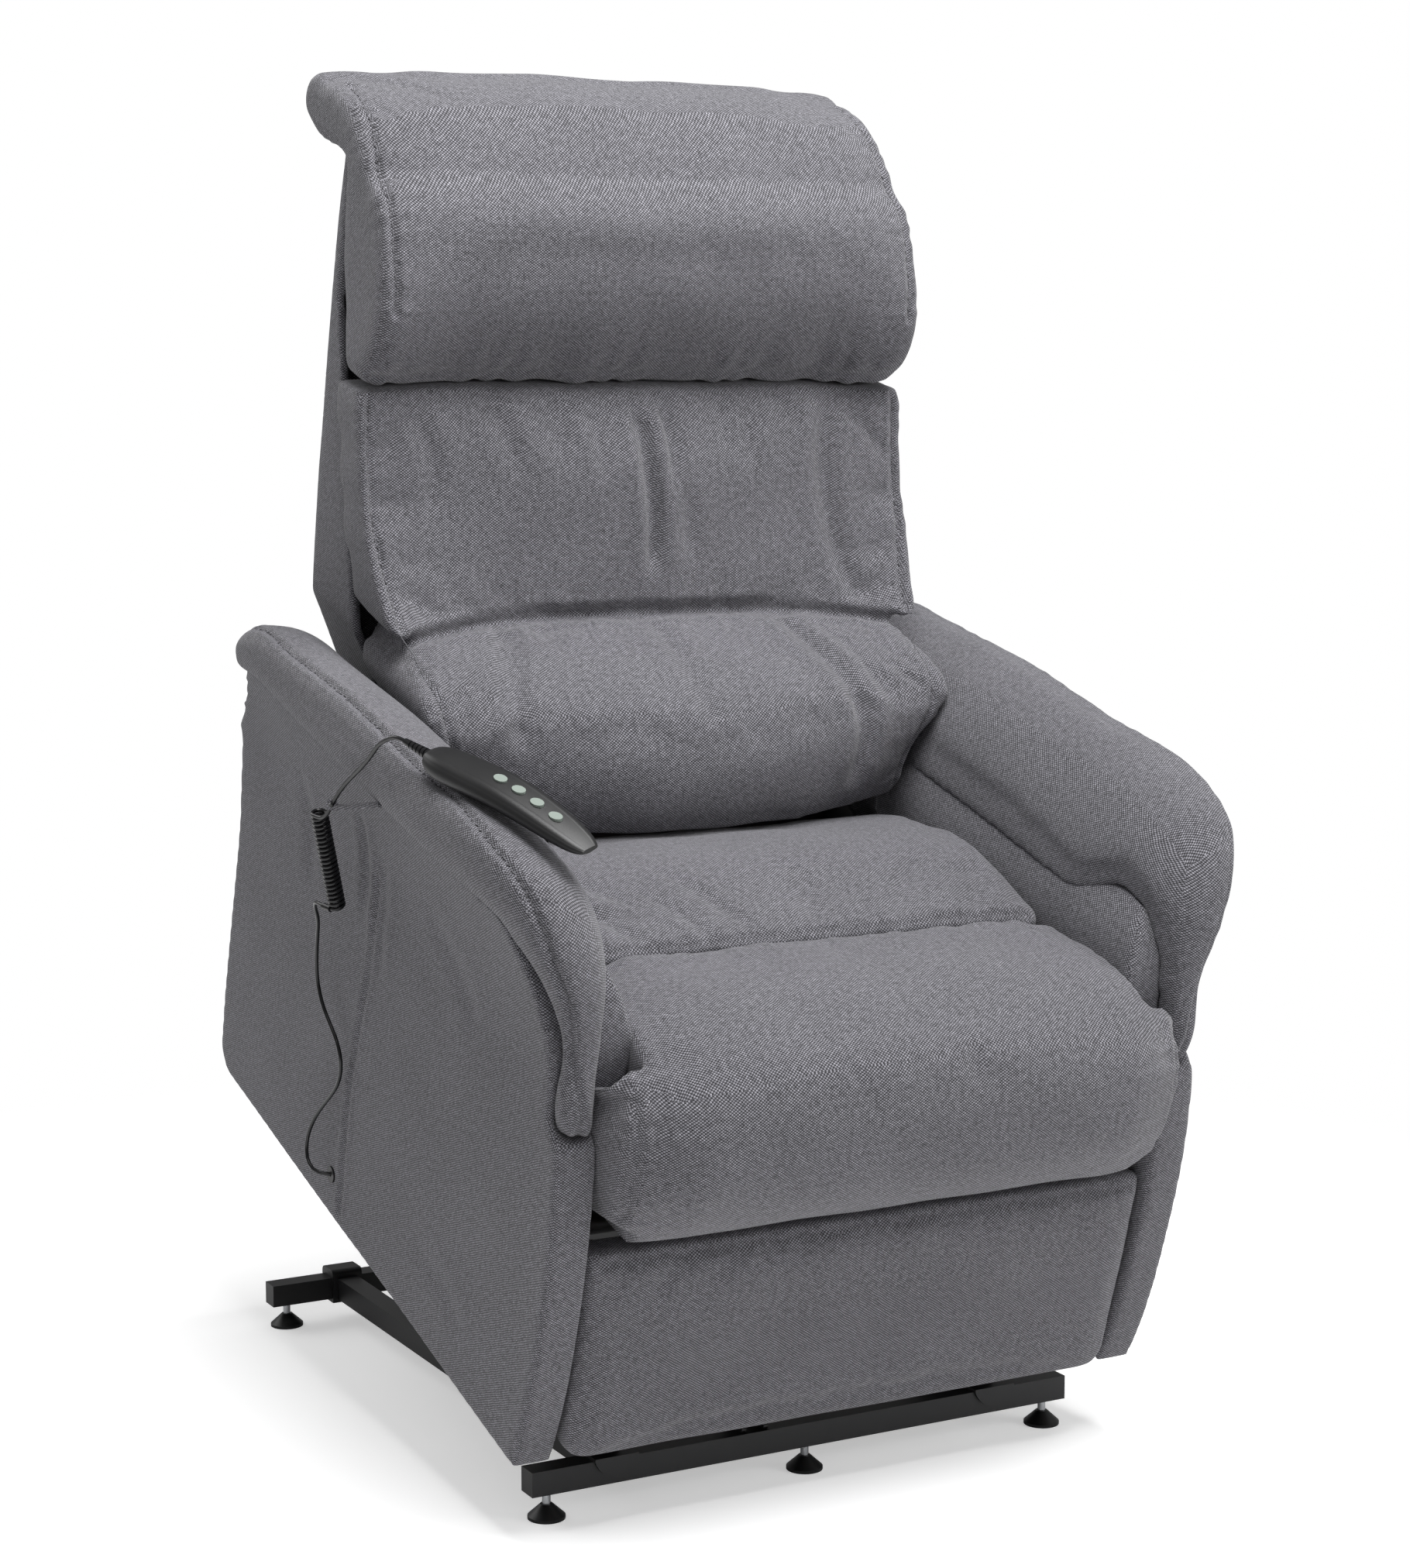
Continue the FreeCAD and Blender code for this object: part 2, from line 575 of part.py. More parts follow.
def side_outline():
    """Outline of a side seen from beside: a full front edge and a rounded lower rear corner."""
    bulge = size("side_front_bulge")
    depth = size("side_depth")
    round_rear = size("side_rear_radius")
    bend_y, bend_z = size("pad_bend_y"), size("pad_bend_z")
    top = size("pad_seam_outer") + 10
    x = -10.0
    corner = round_rear * (1 - math.sqrt(0.5))

    def at(y, z):
        return Vector(x, y, z)

    return outline([
        (at(-bulge, 170), at(-8, 330)),
        (at(18, 352),), (at(52, bend_z + 38), at(bend_y, top)), (at(size("pad_rear_y"), top),),
        (at(depth + 10, 400),), (at(depth, 300),), (at(depth - 4, round_rear),),
        (at(depth - 4 - corner, corner), at(depth - 4 - round_rear, 0)), (at(-2, 0),),
    ])


def pad_section(turn, y0, z0, inner, outer, low_in, low_out, crest, rise):
    """Section of the arm pad across the chair, in a plane that turns about X over the front bend."""
    angle = math.radians(turn)

    def at(x, reach):
        return Vector(x, y0 - reach * math.sin(angle), z0 + reach * math.cos(angle))

    top_x = inner + crest * (outer - inner)
    side_reach = low_out + 0.55 * (rise - low_out)
    return outline([
        (at(inner + 0.30 * (top_x - inner), low_in + 0.68 * (rise - low_in)), at(top_x, rise)),
        (at(outer - 0.12 * (outer - top_x), low_out + 0.86 * (rise - low_out)), at(outer, side_reach)),
        (at(outer - 0.04 * (outer - inner), low_out + 0.22 * (rise - low_out)),
         at(outer - 0.12 * (outer - inner), low_out)),
        (at(inner, low_in),),
    ])


def arm_pad_shape():
    inner, outer = size("pad_inner"), size("pad_outer")
    y0, z0 = size("pad_bend_y"), size("pad_bend_z")
    low_in = size("pad_seam_inner") - z0
    low_out = size("pad_seam_outer") - z0
    rise = size("pad_top") - z0
    rear = size("pad_rear_y")
    sections = [
        pad_section(0, rear, z0, inner + 30, outer - 8, low_in, low_out - 20, 0.7, rise - 62),
        pad_section(0, rear - 30, z0, inner + 14, outer - 3, low_in, low_out - 16, 0.7, rise - 36),
        pad_section(0, rear - 130, z0, inner + 4, outer, low_in, low_out - 8, 0.72, rise - 16),
        pad_section(0, 430, z0, inner, outer, low_in, low_out - 4, 0.74, rise - 2),
        pad_section(0, 240, z0, inner, outer, low_in, low_out, 0.74, rise),
        pad_section(0, y0, z0, inner, outer - 2, low_in + 2, low_out + 2, 0.74, rise - 4),
        pad_section(22, y0, z0, inner, outer - 10, low_in + 8, low_out, 0.71, rise - 10),
        pad_section(45, y0, z0, inner + 2, outer - 24, low_in + 16, low_out - 4, 0.66, rise - 20),
        pad_section(78, y0, z0, inner + 6, outer - 46, low_in + 34, low_in + 38, 0.6, rise - 35),
        pad_section(90, y0, z0 - 36, inner + 11, outer - 56, low_in + 50, low_in + 52, 0.55, rise - 36),
        pad_section(90, y0, z0 - 104, inner + 16, outer - 74, low_in + 66, low_in + 67, 0.5, rise - 34),
    ]
    return Part.makeLoft(sections, True, False)


def prism(wire, travel):
    return Part.Face(wire).extrude(travel)


def sides():
    pad = arm_pad_shape()
    across = prism(side_section(), Vector(0, size("side_depth") + 120, 0))
    across.translate(Vector(0, -60, 0))
    along = prism(side_outline(), Vector(size("pad_outer") + 60, 0, 0))
    panel = across.common(along).cut(pad)
    # Behind the seat the bolster gives way to the back
    depth = size("side_depth") + 60 - size("bolster_rear_y")
    inner = size("side_half_width") - size("side_thickness")
    pocket = Part.makeBox(inner, depth, 400, Vector(0, size("bolster_rear_y"), 0))
    low = size("bolster_bottom") - 45
    toe = Part.makeBox(inner, 60, size("bolster_bottom") + 8 - low, Vector(0, -60, low))
    panel = panel.cut(pocket).cut(toe)
    cavity = Part.makeBox(inner + 4, depth, 600, Vector(0, size("bolster_rear_y"), 398))
    panel = max(panel.cut(cavity).Solids, key=lambda piece: piece.Volume)
    right = node(solid("side_panel_right", panel), "side_panel_right", seat_unit)
    entry = drum(size("grommet_radius"), GROMMET_DEPTH, -size("side_half_width"), *GROMMET)
    left_shape = panel.mirror(Vector(0, 0, 0), Vector(1, 0, 0)).cut(entry)
    node(solid("side_panel_left", left_shape), "side_panel_left", seat_unit)
    pad_right = node(solid("arm_pad_right", pad.cut(cavity_for_back())), "arm_pad_right", seat_unit)
    node(mirrored("arm_pad_left", pad_right), "arm_pad_left")
    return right


def cavity_for_back():
    """The room beside the back that the arm pad leaves free."""
    width = size("back_half_width") + 4
    return Part.makeBox(width, 500, 400, Vector(0, size("bolster_rear_y"), 440))


# Where the handset cord goes into the left side, as (y, z) of the seat unit, and how deep
GROMMET = (459.0, 46.0)
GROMMET_DEPTH = 12.0
# The fabric tab under the lip of the left arm, in the seat unit: its two ends and its ring
LOOP_START = (-388.2, 336.0, 513.0)
LOOP_END = (-403.5, 401.0, 483.0)
LOOP_RING = (-405.0, 405.8, 484.0)
LOOP_RING_WAY = (-0.04, 0.48, -0.88)


def rear_panel():
    inner = "(side_half_width - side_thickness)"
    panel = box("rear_board", f"2 * {inner}", "rear_board", "rear_panel_top - 14", f"-{inner}",
                "side_depth - 5 - rear_board", "14")
    node(group("rear_panel", panel), "rear_panel", seat_unit)


# Seat


def rows_across(half, edges):
    """Positions across a cushion from the right to the left, with the values that belong to each."""
    full = [(half * share, *values) for share, *values in edges]
    return full + [(-x, *values) for x, *values in reversed(full[:-1])]


def cushion_section(x, front, rear, low, seam, crown, shrink):
    """Section along the seat: a flat underside and a crowned top that dips under the back."""
    middle = ((front + rear) / 2, (low + seam) / 2)

    def at(y, z):
        return Vector(x, middle[0] + (y - middle[0]) * shrink, middle[1] + (z - middle[1]) * shrink)

    return outline([
        (at(front, seam - 22),), (at(front + 5, seam - 7), at(front + 22, seam)),
        (at(front + 0.40 * (rear - front), crown), at(rear - 74, seam + 2)),
        (at(rear - 34, seam - 9), at(rear, seam - 26)), (at(rear, low),),
    ])


def seat_cushion():
    half = size("seat_half_width")
    front, rear = size("seat_seam_y"), size("seat_rear_y")
    low, seam, crown = size("seat_bottom"), size("seat_seam_z"), size("seat_crown")
    rows = rows_across(half, ((1.0, -14, 0.92), (0.965, -7, 0.985), (0.85, -2, 1.0), (0.6, 0, 1.0),
                              (0.3, 1, 1.0), (0.0, 1, 1.0)))
    wires = [cushion_section(x, front, rear - 2, low, seam, crown + drop, shrink)
             for x, drop, shrink in rows]
    node(solid("seat_cushion", Part.makeLoft(wires, True, False)), "seat_cushion", seat_unit)


def front_pad_section(x, reach, top, low, shrink):
    """Section of the front roll: over the front edge and down to the footrest panel."""
    rear = size("seat_seam_y") - 2
    step = size("seat_bottom") - 1
    middle = (20.0, (top + low) / 2)

    def at(y, z):
        return Vector(x, middle[0] + (y - middle[0]) * shrink, middle[1] + (z - middle[1]) * shrink)

    return outline([
        (at(rear - 4, top - 8), at(rear - 24, top)),
        (at(40, top + 12), at(-22, top - 2)),
        (at(-reach + 8, top - 40), at(-reach, low + 100)),
        (at(-reach + 16, low + 30), at(-24, low)),
        (at(56, low),), (at(56, step),), (at(rear, step),), (at(rear, top - 26),),
    ])


def seat_front_pad():
    half = size("front_pad_half_width")
    reach = size("front_pad_reach")
    top, low = size("seat_seam_z"), size("front_pad_bottom")
    rows = rows_across(half, ((1.0, -30, -16, 0.90), (0.97, -15, -8, 0.96), (0.88, -5, -3, 0.995),
                              (0.7, -1, -1, 1.0), (0.4, 0, 0, 1.0), (0.0, 0, 1, 1.0)))
    wires = [front_pad_section(x, reach + draw, top + drop, low, shrink) for x, draw, drop, shrink in rows]
    shape = Part.makeLoft(wires, True, False)
    inner = size("seat_half_width") + 0.4
    for x in (inner, -inner - 80):
        shape = shape.cut(Part.makeBox(80, 300, 400, Vector(x, -25, 100)))
    node(solid("seat_front_pad", max(shape.Solids, key=lambda piece: piece.Volume)), "seat_front_pad",
         seat_unit)


# Backrest


def back_section(z, centre, edge, half, rear):
    """Level section of the back cushion: a crowned front between drawn-in sides."""
    def at(x, y):
        return Vector(x, y, z)

    return outline([
        (at(half, rear),), (at(half, edge + 10),),
        (at(half - 3, edge - 8), at(half - 16, edge - 14)),
        (at(0, centre), at(16 - half, edge - 14)),
        (at(3 - half, edge - 8), at(-half, edge + 10)),
        (at(-half, rear),),
    ])


def cushion_rear(z):
    """How far back the cushions reach at a height: the front edge of the outer back."""
    return 573 + (z - size("lumbar_bottom")) * 0.405


def cover_front(z, front, rear):
    return min(max(front, cushion_rear(z) + 0.4), rear - 30)


def back_cushion():
    """Lumbar roll and middle cushion, sewn together at the lumbar seam."""
    waist, half = size("back_waist"), size("back_half_width")
    low, seam, top = size("lumbar_bottom"), size("lumbar_seam"), size("head_seam")
    lumbar = [(low, 406, 470, waist), (low + 16, 396, 458, waist + 4), (low + 49, 393, 452, waist + 6),
              (low + 94, 408, 462, half - 20), (low + 134, 468, 512, half - 5), (seam, 574, 604, half - 1)]
    middle = [(seam, 574, 604, half - 1), (seam + 50, 590, 650, half), (seam + 120, 612, 680, half),
              (seam + 180, 640, 697, half), (top - 1, 672, 706, half - 1)]
    pieces = []
    for rows in (lumbar, middle):
        wires = [back_section(z, centre, edge, wide, max(cushion_rear(z), edge + 12))
                 for z, centre, edge, wide in rows]
        pieces.append(Part.makeLoft(wires, True, False))
    node(solid("back_cushion", pieces[0].fuse(pieces[1])), "back_cushion", seat_unit)


def pillow_section(x, shrink, flare):
    """Section of the head pillow: it bulges forward and rolls back over the top of the back."""
    low = size("head_seam")
    top = size("head_top")
    rear = cushion_rear(low) + 2
    middle = (740.0, (low + top) / 2)

    def at(y, z):
        return Vector(x, middle[0] + (y - middle[0]) * shrink + flare * (z - low) / 300,
                      middle[1] + (z - middle[1]) * shrink)

    return outline([
        (at(680, low),), (at(636, low + 84), at(704, top - 72)),
        (at(752, top - 16), at(842, top)), (at(888, top - 10), at(872, top - 48)),
        (at(842, top - 64), at(804, top - 66)), (at(766, top - 68),), (at(rear, low),),
    ])


def head_pillow():
    half = size("back_half_width")
    rows = rows_across(half, ((1.01, 0.93, 12), (0.98, 0.97, 7), (0.88, 0.995, 2), (0.65, 1.0, 0),
                              (0.3, 1.0, 0), (0.0, 1.0, 0)))
    wires = [pillow_section(x, shrink, flare) for x, shrink, flare in rows]
    shape = Part.makeLoft(wires, True, False)
    node(solid("head_pillow", shape.cut(cover_block(0.4))), "head_pillow", seat_unit)


def cover_rows():
    """Height, front, rear and half width of the outer back: slim at the top, waisted at the foot."""
    half = size("back_half_width")
    waist = size("back_waist")
    return ((size("cover_bottom"), 610, 742, waist), (480, 610, 752, waist + 6), (570, 632, 764, half),
            (700, 680, 777, half), (880, 744, 790, half - 2), (size("cover_top"), 764, 797, half - 6))


def cover_rear(z):
    """How far back the outer back's rear face stands at a height."""
    rows = cover_rows()
    for (low, _, before, _), (high, _, after, _) in zip(rows, rows[1:]):
        if low <= z <= high:
            return before + (after - before) * (z - low) / (high - low)
    return rows[0][2]


def cover_section(z, front, rear, half, corner):
    """Level section of the outer back, its two rear corners rounded, or square where the radius is 0."""
    def at(x, y):
        return Vector(x, y, z)

    if not corner:
        return Part.makePolygon([at(half, front), at(half, rear), at(-half, rear), at(-half, front), at(half, front)])
    soft = corner * (1 - math.sqrt(0.5))
    return outline([
        (at(half, rear - corner),), (at(half - soft, rear - soft), at(half - corner, rear)),
        (at(corner - half, rear),), (at(soft - half, rear - soft), at(-half, rear - corner)),
        (at(-half, front),), (at(half, front),),
    ])


def cover_block(grow=0.0):
    """The solid that the outer back fills, grown a little where a cushion must clear it."""
    wires = [cover_section(z, cover_front(z, front, rear) - grow, rear + grow, half + grow, 16)
             for z, front, rear, half in cover_rows()]
    return Part.makeLoft(wires, True, True)


def back_cover():
    """A padded shell: a rear wall, two side walls and a top, open to the front and below."""
    wall = size("cover_wall")
    rows = cover_rows()
    bottom, crown = rows[0], rows[-1]
    rows = [(bottom[0] - 20, *bottom[1:]), *rows[:-1], (crown[0] - wall, *crown[1:])]
    wires = [cover_section(z, min(front, cushion_rear(z)) - 60, rear - wall, half - wall, 0)
             for z, front, rear, half in rows]
    shape = cover_block().cut(Part.makeLoft(wires, True, True))
    node(solid("back_cover", shape), "back_cover", seat_unit)


def upright_line(z):
    """Where the middle of an upright stands at a height."""
    bottom, top = size("upright_bottom"), size("upright_top")
    return 628 + (z - bottom) / (top - bottom) * 138


def back_uprights():
    """Steel uprights with the hinge plates of the recliner welded to their feet."""
    full = size("upright_size")
    x = size("upright_offset")
    bottom, top = size("upright_bottom"), size("upright_top")
    base, head = upright_line(bottom), upright_line(top)
    bar = plate([(base - full / 2, bottom), (base + full / 2, bottom), (head + full / 2 - 4, top),
                 (head - full / 2 + 6, top)], x, 20)
    pivot_y, pivot_z = size("back_pivot_y"), size("back_pivot_z")
    hinge_x = size("mech_offset") - size("foot_link_gap") - size("mech_plate")
    hinge = plate([(pivot_y - 20, pivot_z - 18), (pivot_y + 20, pivot_z - 20), (base + 24, bottom - 2),
                   (base + 30, bottom + 70), (base - 6, bottom + 78), (pivot_y - 18, pivot_z + 20)],
                  hinge_x, size("mech_plate"), 6)
    block = plate([(base - full / 2 + 2, bottom + 6), (base + full / 2 - 2, bottom + 6),
                   (base + full / 2 + 4, bottom + 56), (base - full / 2 + 8, bottom + 56)],
                  x + 20, hinge_x - x - 20)
    bore = drum(size("back_pin_radius") + size("pin_clearance"), 20, hinge_x - 5, pivot_y, pivot_z)
    shape = bar.fuse(block).fuse(hinge).cut(bore).removeSplitter()
    right = node(solid("back_upright_right", shape), "back_upright_right", seat_unit)
    node(mirrored("back_upright_left", right), "back_upright_left")


def back_rails():
    """Cross rails between the uprights; the lowest carries the eye of the back motor."""
    x = size("upright_offset")
    pieces = []
    for z, tall in ((310.0, 24.0), (590.0, 40.0), (825.0, 40.0)):
        front = upright_line(z + tall / 2) - 8
        # The upper rails back the outer cover
        rear = cover_rear(z) - size("cover_wall") - size("seat_gap") if z > 400 else front + 16
        pieces.append(Part.makeBox(2 * x, rear - front, tall, Vector(-x, front, z)))
    eye = (size("back_eye_y"), size("back_eye_z"))
    y = upright_line(322)
    inner = size("eye_width") / 2 + 0.5
    pieces[0] = pieces[0].fuse(clevis_down(size("back_motor_x"), eye, [(y + 8, 310), (y - 8, 310)], inner))
    parts = [solid(f"back_rail_{number}", piece) for number, piece in enumerate(pieces, start=1)]
    node(group("back_rails", *parts), "back_rails", seat_unit)


def clevis_down(x, point, base, inner):
    """Two ears that hang from the base points to a pin at the point."""
    thick = size("clevis_plate")
    y, z = point
    ear = Part.Face(polygon([*base, (y - 12, z), (y, z - 12), (y + 12, z)], x + inner))
    ear = ear.extrude(Vector(thick, 0, 0))
    other = ear.copy()
    other.translate(Vector(-2 * inner - thick, 0, 0))
    pin = drum(size("clevis_pin_radius"), 2 * (inner + thick + 2), x - inner - thick - 2, y, z)
    return ear.fuse(other).fuse(pin)


# Actuators


def actuator(name, x, start, end, tube_length, place=None):
    """A motor with its outer tube from the start pivot, and a rod with an eye at the end pivot."""
    length = apart(start, end)
    eye = size("eye_radius")
    wide = size("eye_width")
    body = size("motor_width")
    pin = size("clevis_pin_radius")
    tube = size("motor_tube_radius")
    # Drawn along +Y from the start pivot
    tail = Part.makeBox(wide, eye + 14, 2 * eye, Vector(-wide / 2, 0, -eye)).fuse(drum(eye, wide, -wide / 2, 0, 0))
    gearbox = Part.makeBox(body, 74, 58, Vector(-body / 2, eye + 8, -32))
    gearbox = gearbox.makeFillet(7, [edge for edge in gearbox.Edges if edge.Length > 70])
    can = Part.makeCylinder(size("motor_can_radius") * 0.72, 84, Vector(0, eye + 52, -30), Vector(0, 0.94, -0.34))
    sleeve = Part.makeCylinder(tube, tube_length, Vector(0, eye + 60, 0), Vector(0, 1, 0))
    collar = Part.makeCylinder(tube + 3, 12, Vector(0, eye + 48 + tube_length, 0), Vector(0, 1, 0))
    rod_radius = size("rod_radius")
    bore = Part.makeCylinder(rod_radius + 0.5, tube_length + 40, Vector(0, eye + 84, 0), Vector(0, 1, 0))
    housing = tail.fuse(gearbox).fuse(can).fuse(sleeve).fuse(collar)
    housing = housing.cut(bore).cut(drum(pin + size("pin_clearance"), wide + 2, -wide / 2 - 1, 0, 0))
    rod_start = eye + 84 + size("rod_stroke_room")
    rod = Part.makeCylinder(rod_radius, length - 10 - rod_start, Vector(0, rod_start, 0), Vector(0, 1, 0))
    head = drum(eye, wide, -wide / 2, length, 0)
    rod = rod.fuse(head).cut(drum(pin + size("eye_clearance"), wide + 2, -wide / 2 - 1, length, 0))
    along = turned(x, *start, heading(start, end))
    place = place.multiply(along) if place else along
    node(solid(f"{name}_motor", housing.removeSplitter()), f"{name}_motor", place)
    node(solid(f"{name}_rod", rod.removeSplitter()), f"{name}_rod", place)


def lift_actuator():
    start = (size("lift_motor_y"), size("lift_motor_z"))
    end = in_row(size("lift_eye_y"), size("lift_eye_z"))
    actuator("lift", size("lift_motor_x"), start, end, 150)


def back_actuator():
    start = (size("back_motor_y"), size("back_motor_z"))
    end = (size("back_eye_y"), size("back_eye_z"))
    actuator("back", size("back_motor_x"), start, end, 110, seat_unit)


def power_supply():
    """Supply unit behind the rear cross tube, with a bare two-pole inlet."""
    half = size("cross_tube_size") / 2
    y = size("arm_lug_y") + half
    case = Part.makeBox(130, 74, 46, Vector(-65, y, size("cross_tube_z") - 26))
    case = case.makeFillet(5, [edge for edge in case.Edges if edge.BoundBox.YLength > 70])
    socket = Part.makeBox(20, 6, 14, Vector(-10, y + 68, size("cross_tube_z") - 10))
    node(solid("power_supply", case.cut(socket)), "power_supply", seat_unit)
    inlet = Part.makeBox(20, 6, 14, Vector(-10, y + 68, size("cross_tube_z") - 10))
    opening = Part.makeBox(14, 5, 8, Vector(-7, y + 69, size("cross_tube_z") - 7))
    inlet = inlet.cut(opening)
    for x in (-3.2, 3.2):
        inlet = inlet.fuse(Part.makeCylinder(1, 5, Vector(x, y + 68.5, size("cross_tube_z") - 3), Vector(0, 1, 0)))
    node(solid("power_inlet", inlet), "power_inlet", seat_unit)


# Footrest


def foot_link(start, end, x):
    """One flat link of the footrest linkage between two (y, z) points, from X = x."""
    half = size("foot_link_width") / 2
    thick = size("foot_link_plate")
    length = apart(start, end)
    bar = Part.makeBox(thick, length, 2 * half)
    bar.translate(Vector(0, 0, -half))
    bar = bar.fuse(drum(half, thick, 0, 0, 0)).fuse(drum(half, thick, 0, length, 0)).removeSplitter()
    return placed(bar, turned(x, *start, heading(start, end)))


def placed(shape, place):
    moved = shape.copy()
    moved.Placement = place.multiply(moved.Placement)
    return moved


def rivet_hole(point, x, extra="pin_clearance"):
    return drum(size("rivet_radius") + size(extra), size("foot_link_plate") + 2, x - 1, *point)


def footrest_links():
    """Each pair of links is a body of its own, stepped inwards one layer from the link it hangs on."""
    points = foot_points()
    step = size("foot_link_plate") + size("foot_link_gap")
    outer = size("mech_offset") - step
    inner = outer - step
    long = foot_link(points["link_top"], points["knee"], outer).cut(rivet_hole(points["link_top"], outer))
    long = long.fuse(footrest_rivet(points["knee"], outer, 1)).fuse(footrest_rivet(points["steady_start"], outer, 1))
    tube = drum(size("torque_tube_radius"), 2 * outer, -outer, *points["link_top"])
    tube = tube.cut(drum(size("torque_tube_radius") - size("tube_wall"), 2 * outer, -outer, *points["link_top"]))
    node(solid("footrest_torque_tube", tube), "footrest_torque_tube", seat_unit)
    node(solid("footrest_long_links", with_mirror(long)), "footrest_long_links", seat_unit)
    guide = foot_link(points["guide_top"], points["guide_end"], outer).cut(rivet_hole(points["guide_top"], outer))
    guide = guide.fuse(footrest_rivet(points["guide_end"], outer, 1))
    node(solid("footrest_guide_links", with_mirror(guide)), "footrest_guide_links", seat_unit)
    front = foot_link(points["knee"], points["panel"], inner)
    front = front.cut(rivet_hole(points["knee"], inner)).cut(rivet_hole(points["panel"], inner))
    front = front.cut(rivet_hole(points["guide_end"], inner, "open_clearance"))
    node(solid("footrest_front_links", with_mirror(front)), "footrest_front_links", seat_unit)
    steady = foot_link(points["steady_start"], points["steady_end"], inner)
    steady = steady.cut(rivet_hole(points["steady_start"], inner))
    steady = steady.cut(rivet_hole(points["steady_end"], inner, "open_clearance"))
    node(solid("footrest_steady_links", with_mirror(steady)), "footrest_steady_links", seat_unit)


def footrest_panel():
    points = foot_points()
    step = size("foot_link_plate") + size("foot_link_gap")
    x = size("mech_offset") - 3 * step
    half = size("panel_half_width")
    low, top = size("panel_bottom"), size("panel_top")
    rear = size("panel_rear_y")
    board_front = rear - size("panel_board")
    corner = size("panel_corner")
    board = Part.makeBox(2 * half - 12, size("panel_board"), top - low - 12,
                         Vector(6 - half, board_front, low + 6))
    lower = [edge for edge in board.Edges if edge.BoundBox.ZMax < low + 7 or edge.BoundBox.YLength > 12]
    upright = [edge for edge in board.Edges if edge.BoundBox.YLength > 12 and edge.BoundBox.ZMax < low + 7]
    board = board.makeFillet(corner - 6, upright)
    node(solid("footrest_board", board), "footrest_board", seat_unit)
    node(solid("footrest_pad", footrest_pad_shape(board_front)), "footrest_pad", seat_unit)
    panel_y, panel_z = points["panel"]
    steady_y, steady_z = points["steady_end"]
    ear = plate([(rear, panel_z - 30), (panel_y + 4, panel_z - 12), (panel_y + 12, panel_z),
                 (steady_y + 11, steady_z), (steady_y + 4, min(steady_z + 11, top - 4)),
                 (rear, min(steady_z + 11, top - 4))], x, size("foot_link_plate"))
    ear = ear.fuse(drum(size("rivet_radius"), step - 0.5, x + size("foot_link_plate"), panel_y, panel_z))
    ear = ear.fuse(drum(size("rivet_radius"), step - 0.5, x + size("foot_link_plate"), steady_y, steady_z))
    flange = Part.makeBox(26, 3, 72, Vector(x - 22, rear, panel_z - 30))
    shape = ear.fuse(flange)
    node(solid("footrest_brackets", with_mirror(shape)), "footrest_brackets", seat_unit)


def footrest_pad_shape(rear):
    """Upholstery of the footrest panel: a low cushion that wraps the board's edges."""
    half = size("panel_half_width")
    low, top = size("panel_bottom"), size("panel_top")
    front = rear - size("panel_padding")
    corner = size("panel_corner")

    def ring(y, inset):
        soft = (corner - inset) * (1 - math.sqrt(0.5))
        side = half - inset
        floor, roof = low + inset, top - inset
        bend = corner - inset

        def at(x, z):
            return Vector(x, y, z)

        return outline([
            (at(side, roof),), (at(side, floor + bend),), (at(side - soft, floor + soft), at(side - bend, floor)),
            (at(bend - side, floor),), (at(soft - side, floor + soft), at(-side, floor + bend)),
            (at(-side, roof),),
        ])

    wires = [ring(rear, 6), ring(rear, 0)]
    cushion = Part.makeLoft([ring(rear, 0), ring(front + 9, 0), ring(front + 2, 4), ring(front - 2, 16)],
                            True, True)
    skirt = Part.makeLoft([ring(rear, 0), ring(rear + size("panel_board") - 1, 1.5)], True, True)
    board = Part.makeLoft([ring(rear - 0.0, 6), ring(rear + size("panel_board"), 6)], True, True)
    return cushion.fuse(skirt.cut(board)).removeSplitter()


# Handset, cord and what holds them


def handset_place():
    base = Vector(size("handset_x"), size("handset_y"), size("handset_z"))
    # Drawn along +X from the cord end, with the keys up
    turn = Rotation(Vector(0, 0, 1), size("handset_yaw") - 90)
    tip = Rotation(Vector(0, 1, 0), -size("handset_pitch"))
    roll = Rotation(Vector(1, 0, 0), size("handset_roll"))
    return Placement(base, turn.multiply(tip).multiply(roll))


def handset_section(x, half, top, bottom):
    """Section across the handset: a broad top between full sides."""
    middle = (top + bottom) / 2

    def at(y, z):
        return Vector(x, y, z)

    return outline([
        (at(half, middle), at(0.86 * half, middle + 0.62 * (top - middle))),
        (at(0.72 * half, middle + 0.86 * (top - middle)), at(0.5 * half, middle + 0.95 * (top - middle))),
        (at(0, top), at(-0.5 * half, middle + 0.95 * (top - middle))),
        (at(-0.72 * half, middle + 0.86 * (top - middle)), at(-0.86 * half, middle + 0.62 * (top - middle))),
        (at(-half, middle), at(-0.86 * half, middle + 0.62 * (bottom - middle))),
        (at(0, bottom), at(0.86 * half, middle + 0.62 * (bottom - middle))),
    ])


def handset_body():
    """A deep heel at the cord end, an arched back with a waisted grip below it, and a slim tip."""
    length, half, thick = size("handset_length"), size("handset_width") / 2, size("handset_thickness")
    rows = ((0.0, 0.52, 0.22, -0.36), (0.04, 0.70, 0.32, -0.44), (0.20, 0.93, 0.47, -0.42),
            (0.45, 1.0, 0.58, -0.22), (0.70, 0.93, 0.45, -0.20), (0.90, 0.74, 0.20, -0.28),
            (0.97, 0.56, 0.06, -0.26), (1.0, 0.40, -0.02, -0.20))
    wires = [handset_section(length * along, half * wide, thick * top, thick * bottom)
             for along, wide, top, bottom in rows]
    return Part.makeLoft(wires, True, False)


